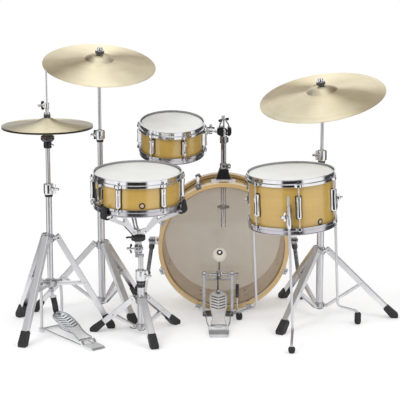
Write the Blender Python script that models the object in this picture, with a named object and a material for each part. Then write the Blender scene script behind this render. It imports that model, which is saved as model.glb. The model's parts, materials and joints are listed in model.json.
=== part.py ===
# An acoustic drum kit: bass drum with pedal, rack tom, floor tom, snare on its stand,
# hi-hat, crash and ride. Metres, +Z up, drummer's side towards -Y.
import math

import bmesh
import bpy
from mathutils import Matrix, Vector

INCH = 0.0254
GAP = 0.0003  # left between pieces that touch
KIT_CENTRE = (0.0227, 0.1803)  # middle of the footprint, from the snare stand's layout point
TUBE_SIDES = 12
RING_SIDES = 24  # toms and snare
CYMBAL_SIDES = 28
BASS_SIDES = 36

CHROME = ("chrome", (0.78, 0.78, 0.79), 0.12, 1.0)
DARK_STEEL = ("dark_steel", (0.12, 0.12, 0.13), 0.35, 1.0)
MAPLE = ("maple", (0.63, 0.38, 0.09), 0.28, 0.0)
HOOP_WOOD = ("hoop_wood", (0.75, 0.46, 0.16), 0.32, 0.0)
COATED_FILM = ("coated_film", (0.80, 0.81, 0.78), 0.55, 0.0)
CLEAR_FILM = ("clear_film", (0.42, 0.39, 0.34), 0.25, 0.0)
CYMBAL_BRASS = ("cymbal_brass", (0.66, 0.52, 0.26), 0.30, 1.0)
ALUMINIUM = ("pedal_aluminium", (0.60, 0.61, 0.63), 0.38, 1.0)

# Toms and snare.
FILM = 0.0015
COLLAR_DEPTH = 0.012
COLLAR_WALL = 0.0028
HOOP_TOP = 0.0085  # hoop's rolled edge above the head
HOOP_FOOT = -0.020  # hoop's lower flange below the head
FLANGE = 0.003
HOOP_WALL = (0.0031, 0.0062)  # inner and outer face, out from the shell
BEAD = 0.0100  # rolled edge, out from the shell
ROD_OUT = 0.0125  # tension rods, out from the shell
ROD_RADIUS = 0.003
ROD_HEAD = 0.011  # rod's head above the hoop's foot
EAR_HALF = 0.009
EAR_HEIGHTS = (0.0004, 0.0048)  # above the hoop's foot
LUG_WIDTH = 0.016
LUG_OUT = 0.019
LUG_ROOT = 0.008  # lug's ends, out from the shell
LUG_SEAT = 0.003  # how deep a lug's foot is joined to the shell
SHELL_WALL = 0.006
LUG_COUNT = 6
# "reach" is the hoop's lower flange, out from the shell; "lug" is a lug's length.
RACK_TOM = {"radius": 5 * INCH, "depth": 5 * INCH, "reach": 0.0115, "lug": 0.060, "lugs_at": 23}
FLOOR_TOM = {"radius": 6.5 * INCH, "depth": 8 * INCH, "reach": 0.0105, "lug": 0.088, "lugs_at": 6}
SNARE = {"radius": 6.5 * INCH, "depth": 5 * INCH, "reach": 0.0090, "lug": 0.074, "lugs_at": 37}

# Bass drum.
BASS_AXIS = (0.098, 0.447, 0.2775)  # middle of the shell
BASS_RADIUS = 10 * INCH
BASS_DEPTH = 8 * INCH
BASS_WALL = 0.008
BASS_HOOP_RADIUS = 0.2705
BASS_HOOP_WALL = 0.0088
BASS_HOOP_FACE = 0.124  # from the middle of the shell to a hoop's outer face
BASS_HOOP_WIDTH = 0.040
BASS_LUG_COUNT = 8
BASS_ROD_OUT = 0.0255  # out from the shell
BASS_LUG_HALF = 0.056
BASS_LUG_WIDTH = 0.018
BASS_LUG_OUT = 0.033
CLAW_WIDTH = 0.022
CLAW_PLATE = 0.003  # in front of the hoop's face
CLAW_BACK = 0.030  # claw's depth behind the hoop's face
BASS_COLLAR_WALL = 0.0036
SPUR_OUT = 0.030  # spur hinge, out from the shell
SPUR_BRACKET_HALF = (0.022, 0.024)  # along the shell, and up and down
SPUR_KNEE = 0.014  # tube's top end, out from the hinge
SPUR_REACH = (0.054, 0.078)  # how far the foot is out sideways and forwards from the hinge
SPUR_TUBE = 0.008
SPUR_BARREL = 0.0175
MOUNT_HOLE = 0.0145

# Rack tom and its mount.
PIPE_RADIUS = 0.011
PIPE_ENDS = (0.337, 0.7225)
PIPE_STOP = (0.417, 0.427)  # bar that keeps the pipe in the shell
PIPE_COLLAR = 0.0155
MOUNT_FLANGE_HALF = (0.052, 0.030)
MOUNT_COLLAR = (0.584, 0.609)
MOUNT_COLLAR_RADIUS = 0.0175
MOUNT_FLANGE_LIP = 0.008  # flange above the shell's top
MOUNT_TAPER = (0.043, 0.029)  # corners of the mount's foot and neck, out from the pipe
PIPE_COLLAR_TALL = 0.0285
HOLDER_HEIGHT = 0.744
HOLDER_ROD = 0.005
HOLDER_HALF = 0.019
HOLDER_SIDES = (-0.028, 0.033)
HOLDER_TOP = 0.021  # above the rod, like the next three
BRACKET_TOP = 0.052
HOLDER_WING = (0.057, 0.071)
HOLDER_WING_HALF = 0.019
TOM_HEAD = (-0.115, 0.400, 0.7865)
TOM_LEAN = 11.5
TOM_ROLL = 0.5
TOM_CLAMP_OUT = 0.038  # clamp on the shell that takes the holder's rod
TOM_CLAMP_RADIUS = 0.019

# Floor tom.
FLOOR_TOM_HEAD = (0.353, 0.026, 0.6520)
FLOOR_TOM_LEAN = 1.5
FLOOR_TOM_ROLL = -2.7
LEG_AZIMUTHS = (-7, 113, -127)
LEG_ROD = 0.005
LEG_OUT = 0.024  # leg's rod, out from the shell
LEG_BRACKET = (-0.078, -0.152)
LEG_TOPS = (-0.055, -0.060, -0.060)
LEG_BEND = -0.577
LEG_FOOT_OUT = 0.114  # foot, out from the shell
LEG_BRACKET_HALF = 0.012
LEG_SOLE = (0.0125, 0.0115)

# Tripod stands.
FLOOR_GAP = 0.0005  # under the plates that lie on the floor
BASE_TUBE = 0.0145
LEG_PIVOT = 0.034  # leg pin, out from the stand's middle
LEG_WIDTH = 0.026
LEG_DEPTH = 0.016
LEG_WALL = 0.0022
BOOT_LENGTH = 0.052
BOOT_HALF = (0.0155, 0.0125)  # boot's half width, and half its depth up the leg
HUB_OUT = 0.007  # hub, out from the base tube
COLLAR_OUT = 0.006
CLAMP_TALL = 0.036
TONGUE_HALF = 0.006
HUB_EAR_OUT = 0.032
BOLT = 0.0035
WING_HALF = 0.013
WING_WIDTH = 0.010
POST_INSIDE = 0.17  # length of a sliding post inside its clamp
CRASH_STAND = {
    "name": "crash_stand",
    "at": (-0.408, 0.338),
    "azimuth": 31,
    "spread": 0.282,
    "hub": (0.035, 0.062),
    "collar": (0.271, 0.301),
    "pin": 0.286,
    "top": 0.505,
    "tube": BASE_TUBE,
    "bore": 0.0110,
}
RIDE_STAND = {
    "name": "ride_stand",
    "at": (0.492, 0.265),
    "azimuth": -34,
    "spread": 0.308,
    "hub": (0.034, 0.060),
    "collar": (0.264, 0.294),
    "pin": 0.279,
    "top": 0.480,
    "tube": BASE_TUBE,
    "bore": 0.0110,
}
SNARE_STAND = {
    "name": "snare_stand",
    "at": (-0.2325, 0.008),
    "azimuth": 17,
    "spread": 0.194,
    "hub": (0.020, 0.046),
    "collar": (0.128, 0.156),
    "pin": 0.143,
    "top": 0.266,
    "tube": BASE_TUBE,
    "bore": 0.0103,
}
HIHAT_STAND = {
    "name": "hihat_stand",
    "at": (-0.594, 0.066),
    "azimuth": -22,
    "spread": 0.238,
    "hub": (0.178, 0.214),
    "collar": (0.364, 0.394),
    "pin": 0.379,
    "top": 0.600,
    "tube": 0.0118,
    "bore": 0.0092,
}

# Cymbals.
CYMBAL_THICKNESS = 0.0018
STUD = 0.0055
THIN_TUBE = 0.0062  # stand's upper tube
CLAMP_RADIUS = 0.0175
SEAT = 0.048  # cymbal's lower felt, out from the tilter's hinge
CHEEK = 0.0125  # tilter's two round cheeks: radius and thickness
CHEEK_THICK = 0.0130
POST_NECK = 0.0095
TILTER_BODY = 0.0125
FELT = 0.0160
FELTS = (0.009, 0.021)  # top felt, above the seat, like the next
WING_NUT = (0.024, 0.036)
WING_NUT_HALF = 0.015
CRASH = {"radius": 9 * INCH, "bell": 0.062, "bell_height": 0.020, "bow": 0.026, "hole": 0.0075}
RIDE = {"radius": 10 * INCH, "bell": 0.066, "bell_height": 0.021, "bow": 0.030, "hole": 0.0075}
HIHAT = {"radius": 7 * INCH, "bell": 0.050, "bell_height": 0.018, "bow": 0.014, "hole": 0.0078}
CRASH_TILT = {"hinge": 1.025, "lean": 15.0, "roll": 4.4, "clamp": (0.717, 0.768)}
RIDE_TILT = {"hinge": 0.909, "lean": 13.6, "roll": -9.2, "clamp": (0.643, 0.698)}

# Snare drum on its stand.
SNARE_X = -0.2415
SNARE_TILTER = 0.350
SNARE_HEAD = 0.3085  # snare's head above the tilter's hinge
SNARE_LEAN = 3.3
BASKET_AZIMUTHS = (-42, 78, 198)
SNARE_POST = 0.0097
SNARE_POST_FOOT = 0.120
SNARE_CHEEK = 0.019
SNARE_CHEEK_THICK = 0.015
SNARE_RING = (0.0170, 0.195, 0.210)  # radius and heights of the ring on the base tube
# Knob and core of the basket, above the tilter's hinge.
KNOB = (0.027, 0.034, 0.058)
CORE = (0.014, 0.078)
HANDLE = (-0.044, 0.042, 0.050)
ARM_HALF = 0.006
ARM_ROOT = ((0.062, 0.080), 0.030)  # arm's heights where it leaves the knob, and how far out
TIP_HALF = 0.0095
STRAINER_PLATE = (0.014, -0.098, -0.026)  # half width, and heights below the head
BUTT_PLATE = (0.012, -0.098, -0.062)
LEVER_ARM = 0.054
STRAINER_AT = -53  # snare throw-off's azimuth on the shell
STRAINER_HINGE = (0.0185, -0.088)  # lever's hinge, out from the shell and up from the head

# Hi-hat.
HIHAT_PEDAL_AT = 38  # pedal's azimuth
HIHAT_SEAT = 0.7885  # bottom cymbal's felt
HIHAT_GAP = 0.008
HIHAT_TUBE = 0.0086
PULL_ROD = 0.003
HIHAT_POST_OUT = 0.045
HIHAT_NECK = (0.0155, 0.742, 0.7665)  # radius and heights of the neck under the cup
HIHAT_CUP = 0.0275
HIHAT_CUP_FOOT = 0.7705
HIHAT_ROD_ENDS = (0.168, 1.045)
HIHAT_FELT = 0.0140
CLUTCH = (0.0080, 0.014, 0.058)  # radius, and heights above the top cymbal's hole
HEEL_HALF = 0.034
WIRE = 0.003
# A pedal's distances are counted out from its stand's middle, with heights after them.
HIHAT_PEDAL = {
    "hinge": (0.250, 0.020),
    "toe": (0.038, 0.083),
    "width": (0.058, 0.066),
    "heel": (0.256, 0.338),
}

# Bass drum pedal.
PEDAL_AT = (0.0745, 0.285)  # below the beater's axle
PEDAL_HALF = 0.0577  # from the middle to a post
AXLE_HEIGHT = 0.172
AXLE = 0.005
BEATER_LENGTH = 0.200
BEATER_BACK = 52  # beater's rest angle behind upright
SPRING_X = 0.079
SPRING_ENDS = (0.0165, 0.1550)
HEEL_TOP = 0.011  # both pedals' heel plates
BOARD_HALF = 0.0028  # half a footboard's thickness
PEDAL_BASE_HALF = 0.030
PEDAL_POST_HALF = 0.006
BRIDGE_DROP = 0.019  # bridge, below the axle
CLAMP_HALF = 0.014  # hoop clamp
PEDAL_HEEL_HALF = 0.036
HUB_TOP = 0.036
SHAFT = 0.0045
BEATER = (0.0255, 0.022)  # radius and half length of the felt
BEATER_SIDE = 0.004  # beater, to the right of the hub's middle
COIL = (0.0075, 0.074, 0.132)  # spring's radius and heights
SPRING_HOOK = 0.0025
BASS_PEDAL = {
    "hinge": (0.235, 0.020),
    "toe": (0.046, 0.118),
    "width": (0.064, 0.070),
    "heel": (0.241, 0.322),
}


# ---------- shapes, each a closed bmesh ----------


def turned(profile, sides, bottom_flat=False):
    """A closed profile of (radius, height) points turned about Z; radius 0 makes a pole."""
    shape = bmesh.new()
    phase = math.pi / sides if bottom_flat else 0.0
    rings = []
    for radius, height in profile:
        if radius == 0:
            rings.append([shape.verts.new((0, 0, height))])
            continue
        ring = []
        for i in range(sides):
            angle = phase + 2 * math.pi * i / sides
            ring.append(shape.verts.new((radius * math.cos(angle), radius * math.sin(angle), height)))
        rings.append(ring)
    for low, high in zip(rings, rings[1:] + rings[:1]):
        if len(low) == 1 and len(high) == 1:
            continue
        for i in range(sides):
            corners = []
            for ring, step in ((low, i), (low, i + 1), (high, i + 1), (high, i)):
                corner = ring[step % len(ring)]
                if corner not in corners:
                    corners.append(corner)
            shape.faces.new(corners)
    bmesh.ops.recalc_face_normals(shape, faces=shape.faces)
    return shape


def ring_cylinder(bore, outer, low, high, sides=TUBE_SIDES):
    return turned([(bore, low), (outer, low), (outer, high), (bore, high)], sides)


def rod(start, end, radius, sides=TUBE_SIDES, end_radius=None):
    """A round bar, or a cone, between two points."""
    start, end = Vector(start), Vector(end)
    along = end - start
    turn = Vector((0, 0, 1)).rotation_difference(along).to_matrix().to_4x4()
    shape = bmesh.new()
    bmesh.ops.create_cone(
        shape,
        cap_ends=True,
        segments=sides,
        radius1=radius,
        radius2=radius if end_radius is None else end_radius,
        depth=along.length,
        matrix=Matrix.Translation((start + end) / 2) @ turn,
    )
    return shape


def block(low, high):
    """A box between two opposite corners."""
    low, high = Vector(low), Vector(high)
    size = high - low
    shape = bmesh.new()
    place = Matrix.Translation((low + high) / 2) @ Matrix.Diagonal((*size, 1))
    bmesh.ops.create_cube(shape, size=1, matrix=place)
    return shape


def slab(outline, low, high):
    """An outline of (x, z) points made solid from y = low to y = high."""
    shape = bmesh.new()
    front = [shape.verts.new((x, low, z)) for x, z in outline]
    back = [shape.verts.new((x, high, z)) for x, z in outline]
    shape.faces.new(front)
    shape.faces.new(list(reversed(back)))
    for i in range(len(outline)):
        j = (i + 1) % len(outline)
        shape.faces.new((front[i], front[j], back[j], back[i]))
    bmesh.ops.recalc_face_normals(shape, faces=shape.faces)
    return shape


def bent_rod(route, radius, sides=8):
    """A round bar along a bent route, mitred at its corners."""
    route = [Vector(point) for point in route]
    shape = bmesh.new()
    rings = []
    side = None
    for i, point in enumerate(route):
        before = (point - route[i - 1]).normalized() if i else None
        after = (route[i + 1] - point).normalized() if i + 1 < len(route) else None
        along = ((before or after) + (after or before)).normalized()
        if side is None:
            side = along.orthogonal().normalized()
        side = (side - along * side.dot(along)).normalized()
        cross = along.cross(side)
        ring = []
        for step in range(sides):
            angle = 2 * math.pi * step / sides
            offset = side * math.cos(angle) + cross * math.sin(angle)
            ring.append(shape.verts.new(point + radius * offset))
        rings.append(ring)
    shape.faces.new(rings[0])
    shape.faces.new(list(reversed(rings[-1])))
    for low, high in zip(rings, rings[1:]):
        for step in range(sides):
            after = (step + 1) % sides
            shape.faces.new((low[step], low[after], high[after], high[step]))
    bmesh.ops.recalc_face_normals(shape, faces=shape.faces)
    return shape


def moved(shape, place):
    bmesh.ops.transform(shape, matrix=place, verts=shape.verts)
    return shape


def gathered(shapes):
    """Several closed shapes in one bmesh."""
    whole = bmesh.new()
    for shape in shapes:
        mesh = bpy.data.meshes.new("part")
        shape.to_mesh(mesh)
        shape.free()
        whole.from_mesh(mesh)
        bpy.data.meshes.remove(mesh)
    return whole


def spin_z(degrees):
    return Matrix.Rotation(math.radians(degrees), 4, "Z")


def facing(azimuth):
    """Turns +X to point out at an azimuth counted from the drummer's side (-Y) towards +X."""
    return spin_z(azimuth - 90)


# ---------- objects ----------


def clear_scene():
    for obj in list(bpy.data.objects):
        bpy.data.objects.remove(obj)


def finish(look):
    name, colour, roughness, metallic = look
    found = bpy.data.materials.get(name)
    if found:
        return found
    made = bpy.data.materials.new(name)
    made.use_nodes = True
    shader = made.node_tree.nodes["Principled BSDF"]
    shader.inputs["Base Color"].default_value = (*colour, 1)
    shader.inputs["Roughness"].default_value = roughness
    shader.inputs["Metallic"].default_value = metallic
    return made


def mesh_object(name, shape):
    mesh = bpy.data.meshes.new(name)
    shape.to_mesh(mesh)
    shape.free()
    obj = bpy.data.objects.new(name, mesh)
    bpy.context.scene.collection.objects.link(obj)
    return obj


def anchor(name, place, parent=None):
    """An empty that carries a unit or a moving group."""
    obj = bpy.data.objects.new(name, None)
    bpy.context.scene.collection.objects.link(obj)
    obj.parent = parent
    obj.matrix_basis = place
    return obj


def piece(name, look, shape, parent, place=None, adds=(), cuts=()):
    """One node: a shape, with others joined to it and others cut from it."""
    obj = mesh_object(name, shape)
    obj.data.materials.append(finish(look))
    obj.data.shade_smooth()
    obj.data.set_sharp_from_angle(angle=math.radians(35))
    obj.parent = parent
    obj.matrix_basis = place or Matrix()
    for operation, shapes in (("UNION", adds), ("DIFFERENCE", cuts)):
        if not shapes:
            continue
        helper = mesh_object(f"{name}_{operation.lower()}", gathered(shapes))
        helper.parent = obj
        helper.hide_render = True
        helper.display_type = "WIRE"
        modifier = obj.modifiers.new(operation.title(), "BOOLEAN")
        modifier.operation = operation
        modifier.solver = "EXACT"
        modifier.use_self = True
        modifier.object = helper
    return obj


def tilted(location, towards_drummer=0.0, right_side_down=0.0):
    """A unit's place, leaned towards -Y and then rolled about Y."""
    lean = Matrix.Rotation(math.radians(towards_drummer), 4, "X")
    roll = Matrix.Rotation(math.radians(right_side_down), 4, "Y")
    return Matrix.Translation(location) @ lean @ roll


# ---------- toms and snare ----------


def lug_angles(drum):
    return [drum["lugs_at"] + 360 / LUG_COUNT * i for i in range(LUG_COUNT)]


def flipped(profile, depth):
    """The same profile at the drum's other end."""
    return [(radius, -depth - height) for radius, height in profile]


def head_profile(drum):
    radius = drum["radius"]
    return [
        (0, 0),
        (radius + COLLAR_WALL, 0),
        (radius + COLLAR_WALL, -COLLAR_DEPTH),
        (radius + 2 * GAP, -COLLAR_DEPTH),
        (radius + 2 * GAP, -FILM),
        (0, -FILM),
    ]


def hoop_profile(drum):
    radius = drum["radius"]
    inner, outer = radius + HOOP_WALL[0], radius + HOOP_WALL[1]
    reach = radius + drum["reach"]
    return [
        (inner, HOOP_FOOT),
        (reach, HOOP_FOOT),
        (reach, HOOP_FOOT + FLANGE),
        (outer, HOOP_FOOT + FLANGE),
        (radius + BEAD, HOOP_TOP),
        (inner, HOOP_TOP),
    ]


def hoop_with_head_profile(drum):
    """A hoop and the head that it holds, as one section."""
    hoop = hoop_profile(drum)
    inside = drum["radius"] + 2 * GAP
    film = [(inside, HOOP_FOOT), (inside, -FILM), (0, -FILM)]
    return [(0, 0), (hoop[-1][0], 0), *reversed(hoop[1:]), *film]


def tension_rods(drum, flip):
    """For each lug, the hoop's ear and the rod through it down to the lug."""
    centre = drum["radius"] + ROD_OUT
    top = -(drum["depth"] - drum["lug"]) / 2
    other_end = Matrix.Translation((0, 0, -drum["depth"])) @ Matrix.Rotation(math.pi, 4, "X")
    shapes = []
    for angle in lug_angles(drum):
        ear = block(
            (drum["radius"] + HOOP_WALL[0] + 0.001, -EAR_HALF, HOOP_FOOT + EAR_HEIGHTS[0]),
            (centre + 2 * ROD_RADIUS, EAR_HALF, HOOP_FOOT + EAR_HEIGHTS[1]),
        )
        shank = rod((centre, 0, HOOP_FOOT + ROD_HEAD), (centre, 0, top + GAP), ROD_RADIUS, 6)
        for shape in (ear, shank):
            if flip:
                moved(shape, other_end)
            shapes.append(moved(shape, facing(angle)))
    return shapes


def lugs(drum):
    """Double-ended lugs, each taking a rod from either hoop."""
    radius = drum["radius"]
    top = -(drum["depth"] - drum["lug"]) / 2
    foot = top - drum["lug"]
    outline = [
        (radius - LUG_SEAT, top - 0.010),
        (radius + LUG_ROOT, top),
        (radius + LUG_OUT - 0.002, top),
        (radius + LUG_OUT, top - 0.012),
        (radius + LUG_OUT, foot + 0.012),
        (radius + LUG_OUT - 0.002, foot),
        (radius + LUG_ROOT, foot),
        (radius - LUG_SEAT, foot + 0.010),
    ]
    half = LUG_WIDTH / 2
    return [moved(slab(outline, -half, half), facing(angle)) for angle in lug_angles(drum)]


def shell(name, drum, parent, adds=(), cuts=()):
    top = -FILM - GAP
    foot = -drum["depth"] + FILM + GAP
    outer = drum["radius"]
    inner = outer - SHELL_WALL
    profile = [(inner, foot), (outer, foot), (outer, top), (inner, top)]
    piece(name, MAPLE, turned(profile, RING_SIDES), parent, adds=[*lugs(drum), *adds], cuts=cuts)


def drum_top(name, drum, parent):
    piece(f"{name}_batter_head", COATED_FILM, turned(head_profile(drum), RING_SIDES), parent)
    hoop = turned(hoop_profile(drum), RING_SIDES)
    piece(f"{name}_batter_hoop", CHROME, hoop, parent, adds=tension_rods(drum, False))


def drum_foot(name, drum, parent):
    """Bottom hoop and head as one node."""
    profile = flipped(hoop_with_head_profile(drum), drum["depth"])
    piece(f"{name}_bottom_hoop", CHROME, turned(profile, RING_SIDES), parent, adds=tension_rods(drum, True))


# ---------- bass drum ----------


def bass_lug_angles():
    return [180 / BASS_LUG_COUNT + 360 / BASS_LUG_COUNT * i for i in range(BASS_LUG_COUNT)]


def bass_lugs():
    half_width = BASS_LUG_WIDTH / 2
    outline = [
        (BASS_RADIUS - 0.004, BASS_LUG_HALF - 0.012),
        (BASS_RADIUS + BASS_LUG_OUT / 2, BASS_LUG_HALF),
        (BASS_RADIUS + BASS_LUG_OUT - 0.002, BASS_LUG_HALF),
        (BASS_RADIUS + BASS_LUG_OUT, BASS_LUG_HALF - 0.014),
    ]
    outline += [(x, -z) for x, z in reversed(outline)]
    return [moved(slab(outline, -half_width, half_width), spin_z(angle)) for angle in bass_lug_angles()]


def claws():
    """For each lug, the claw over the hoop's face and its tension rod."""
    centre = BASS_RADIUS + BASS_ROD_OUT
    outline = [
        (BASS_HOOP_RADIUS - 0.0075, BASS_HOOP_FACE - 0.004),
        (BASS_HOOP_RADIUS - 0.0075, BASS_HOOP_FACE + CLAW_PLATE),
        (BASS_HOOP_RADIUS + 0.006, BASS_HOOP_FACE + CLAW_PLATE),
        (centre + 0.007, BASS_HOOP_FACE - 0.010),
        (centre + 0.007, BASS_HOOP_FACE - CLAW_BACK),
        (BASS_HOOP_RADIUS - 0.002, BASS_HOOP_FACE - CLAW_BACK),
    ]
    shapes = []
    for angle in bass_lug_angles():
        hook = slab(outline, -CLAW_WIDTH / 2, CLAW_WIDTH / 2)
        shank = rod((centre, 0, BASS_HOOP_FACE - 0.020), (centre, 0, BASS_LUG_HALF + GAP), ROD_RADIUS, 6)
        shapes += [moved(hook, spin_z(angle)), moved(shank, spin_z(angle))]
    return shapes


def bass_end(side, batter):
    """Head and wooden hoop at one end; the side's +Z is that end's outward way."""
    name = "batter" if batter else "front"
    film_top = BASS_DEPTH / 2 + FILM + GAP
    head = [
        (0, film_top),
        (BASS_RADIUS + BASS_COLLAR_WALL, film_top),
        (BASS_RADIUS + BASS_COLLAR_WALL, film_top - COLLAR_DEPTH),
        (BASS_RADIUS + 2 * GAP, film_top - COLLAR_DEPTH),
        (BASS_RADIUS + 2 * GAP, film_top - FILM),
        (0, film_top - FILM),
    ]
    look = CLEAR_FILM if batter else COATED_FILM
    piece(f"bass_{name}_head", look, turned(head, BASS_SIDES, True), side)
    outer = BASS_HOOP_RADIUS / math.cos(math.pi / BASS_SIDES)
    inner = BASS_HOOP_RADIUS - BASS_HOOP_WALL
    back = BASS_HOOP_FACE - BASS_HOOP_WIDTH
    hoop = [(inner, back), (outer, back), (outer, BASS_HOOP_FACE), (inner, BASS_HOOP_FACE)]
    piece(f"bass_{name}_hoop", HOOP_WOOD, turned(hoop, BASS_SIDES, True), side, adds=claws())


def bass_drum(kit):
    # The unit's +Z points at the drummer, so its +Y is the kit's +Z.
    drum = anchor("bass_drum", Matrix.Translation(BASS_AXIS) @ Matrix.Rotation(math.pi / 2, 4, "X"), kit)
    half = BASS_DEPTH / 2
    inner = BASS_RADIUS - BASS_WALL
    profile = [(inner, -half), (BASS_RADIUS, -half), (BASS_RADIUS, half), (inner, half)]
    brackets = []
    for side in (-1, 1):
        low, high = sorted((side * (BASS_RADIUS - 0.005), side * (BASS_RADIUS + SPUR_OUT - 0.002)))
        half_depth, half_height = SPUR_BRACKET_HALF
        brackets.append(block((low, -half_depth, -half_height), (high, half_depth, half_height)))
    hole = rod((0, BASS_RADIUS - 0.03, 0), (0, BASS_RADIUS + 0.03, 0), MOUNT_HOLE)
    piece(
        "bass_shell",
        MAPLE,
        turned(profile, BASS_SIDES, True),
        drum,
        adds=[*bass_lugs(), *brackets],
        cuts=[hole],
    )
    bass_end(anchor("bass_batter_side", Matrix(), drum), True)
    bass_end(anchor("bass_front_side", Matrix.Rotation(math.pi, 4, "Y"), drum), False)


def spurs(kit):
    x, y, z = BASS_AXIS
    for side, name in ((-1, "spur_left"), (1, "spur_right")):
        hinge = Matrix.Translation((x + side * (BASS_RADIUS + SPUR_OUT), y, z))
        foot = Vector((side * SPUR_REACH[0], SPUR_REACH[1], -z))
        knee = Vector((side * SPUR_KNEE, 0, 0))
        barrel = rod((side * (GAP - 0.0017), 0, 0), (side * 2 * SPUR_KNEE, 0, 0), SPUR_BARREL)
        tube = rod(knee, knee.lerp(foot, 0.93), SPUR_TUBE, 10)
        cap = rod(knee.lerp(foot, 0.88), foot, 0.011, 10, end_radius=0.012)
        under_floor = block((-0.5, -0.5, -z - 0.5), (0.5, 0.5, -z))
        piece(
            name,
            DARK_STEEL,
            barrel,
            kit,
            hinge,
            adds=[tube, cap],
            cuts=[under_floor],
        )


# ---------- rack tom and its mount ----------


def tom_mount(kit):
    x, y, z = BASS_AXIS
    base = anchor("tom_mount", Matrix.Translation((x, y, 0)), kit)
    top = z + BASS_RADIUS
    half_x, half_y = MOUNT_FLANGE_HALF
    collar_low, collar_top = MOUNT_COLLAR
    flange = block((-half_x, -half_y, top - 0.012), (half_x, half_y, top + MOUNT_FLANGE_LIP))
    wide, narrow = MOUNT_TAPER
    taper = rod((0, 0, top + 0.005), (0, 0, collar_low + 0.004), wide, 4, end_radius=narrow)
    moved(taper, spin_z(45))
    collar = rod((0, 0, collar_low), (0, 0, collar_top), MOUNT_COLLAR_RADIUS)
    wing = block((0.012, -0.004, collar_low + 0.006), (0.034, 0.004, collar_top - 0.006))
    # The cut that seats the flange has the shell's facets.
    seat = moved(
        rod((0, 0, -2 * half_y), (0, 0, 2 * half_y), BASS_RADIUS + GAP, BASS_SIDES),
        Matrix.Translation((0, 0, z)) @ Matrix.Rotation(math.pi / 2, 4, "X") @ spin_z(180 / BASS_SIDES),
    )
    bore = rod((0, 0, top - 0.08), (0, 0, collar_top + 0.05), PIPE_RADIUS + 2 * GAP)
    piece("tom_mount_base", DARK_STEEL, flange, base, adds=[taper, collar, wing], cuts=[seat, bore])
    pipe_foot, pipe_top = PIPE_ENDS
    ring_top = pipe_top - 0.001
    ring = rod((0, 0, ring_top - PIPE_COLLAR_TALL), (0, 0, ring_top), PIPE_COLLAR)
    stop = block((-0.025, -0.006, PIPE_STOP[0]), (0.025, 0.006, PIPE_STOP[1]))
    pipe = rod((0, 0, pipe_foot), (0, 0, pipe_top), PIPE_RADIUS)
    piece("tom_mount_pipe", CHROME, pipe, base, adds=[ring, stop])


def tom_holder(kit):
    x, y, _ = BASS_AXIS
    place = Matrix.Translation((x, y, HOLDER_HEIGHT))
    low = PIPE_ENDS[1] + GAP - HOLDER_HEIGHT
    left, right = HOLDER_SIDES
    clamp = block((left, -HOLDER_HALF, low), (right, HOLDER_HALF, HOLDER_TOP))
    foot = HOLDER_TOP - 0.003
    cheeks = [(-0.022, foot), (0.024, foot), (0.012, BRACKET_TOP), (-0.010, BRACKET_TOP)]
    bracket = slab(cheeks, -0.015, 0.015)
    wing_low, wing_top = HOLDER_WING
    screw = rod((0, 0, BRACKET_TOP - 0.007), (0, 0, wing_top - 0.005), 0.005, 8)
    wing = block((-HOLDER_WING_HALF, -0.0035, wing_low), (HOLDER_WING_HALF, 0.0035, wing_top))
    tip = TOM_HEAD[0] - x + RACK_TOM["radius"] + 0.004
    arm = rod((-0.02, 0, 0), (tip, 0, 0), HOLDER_ROD)
    piece("tom_holder", CHROME, clamp, kit, place, adds=[bracket, screw, wing, arm])


def rack_tom(kit):
    place = tilted(TOM_HEAD, TOM_LEAN, TOM_ROLL)
    tom = anchor("rack_tom", place, kit)
    # The bracket and its bore are set from the holder's rod, seen from the tom.
    rod_start = place.inverted() @ Vector((BASS_AXIS[0], BASS_AXIS[1], HOLDER_HEIGHT))
    rod_way = place.to_3x3().inverted() @ Vector((-1, 0, 0))
    radius = RACK_TOM["radius"]
    to_shell = rod_start.x - radius
    root = rod_start + rod_way * (to_shell + 0.010)
    face = rod_start + rod_way * (to_shell - TOM_CLAMP_OUT)
    bracket = rod(root, face, TOM_CLAMP_RADIUS, 8)
    bore = rod(rod_start + rod_way * (to_shell - 0.002), rod_start, HOLDER_ROD + 3 * GAP)
    shell("rack_tom_shell", RACK_TOM, tom, adds=[bracket], cuts=[bore])
    drum_top("rack_tom", RACK_TOM, tom)
    drum_foot("rack_tom", RACK_TOM, tom)


# ---------- floor tom ----------


def floor_leg_route(top):
    """Along the leg in its own plane: straight, out over the floor, then down."""
    out = LEG_FOOT_OUT - LEG_OUT
    return [
        (0, 0, top),
        (0, 0, LEG_BEND + 0.012),
        (0.010, 0, LEG_BEND - 0.004),
        (out - 0.014, 0, LEG_BEND - 0.034),
        (out - 0.004, 0, LEG_BEND - 0.042),
        (out, 0, LEG_BEND - 0.060),
    ]


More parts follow.
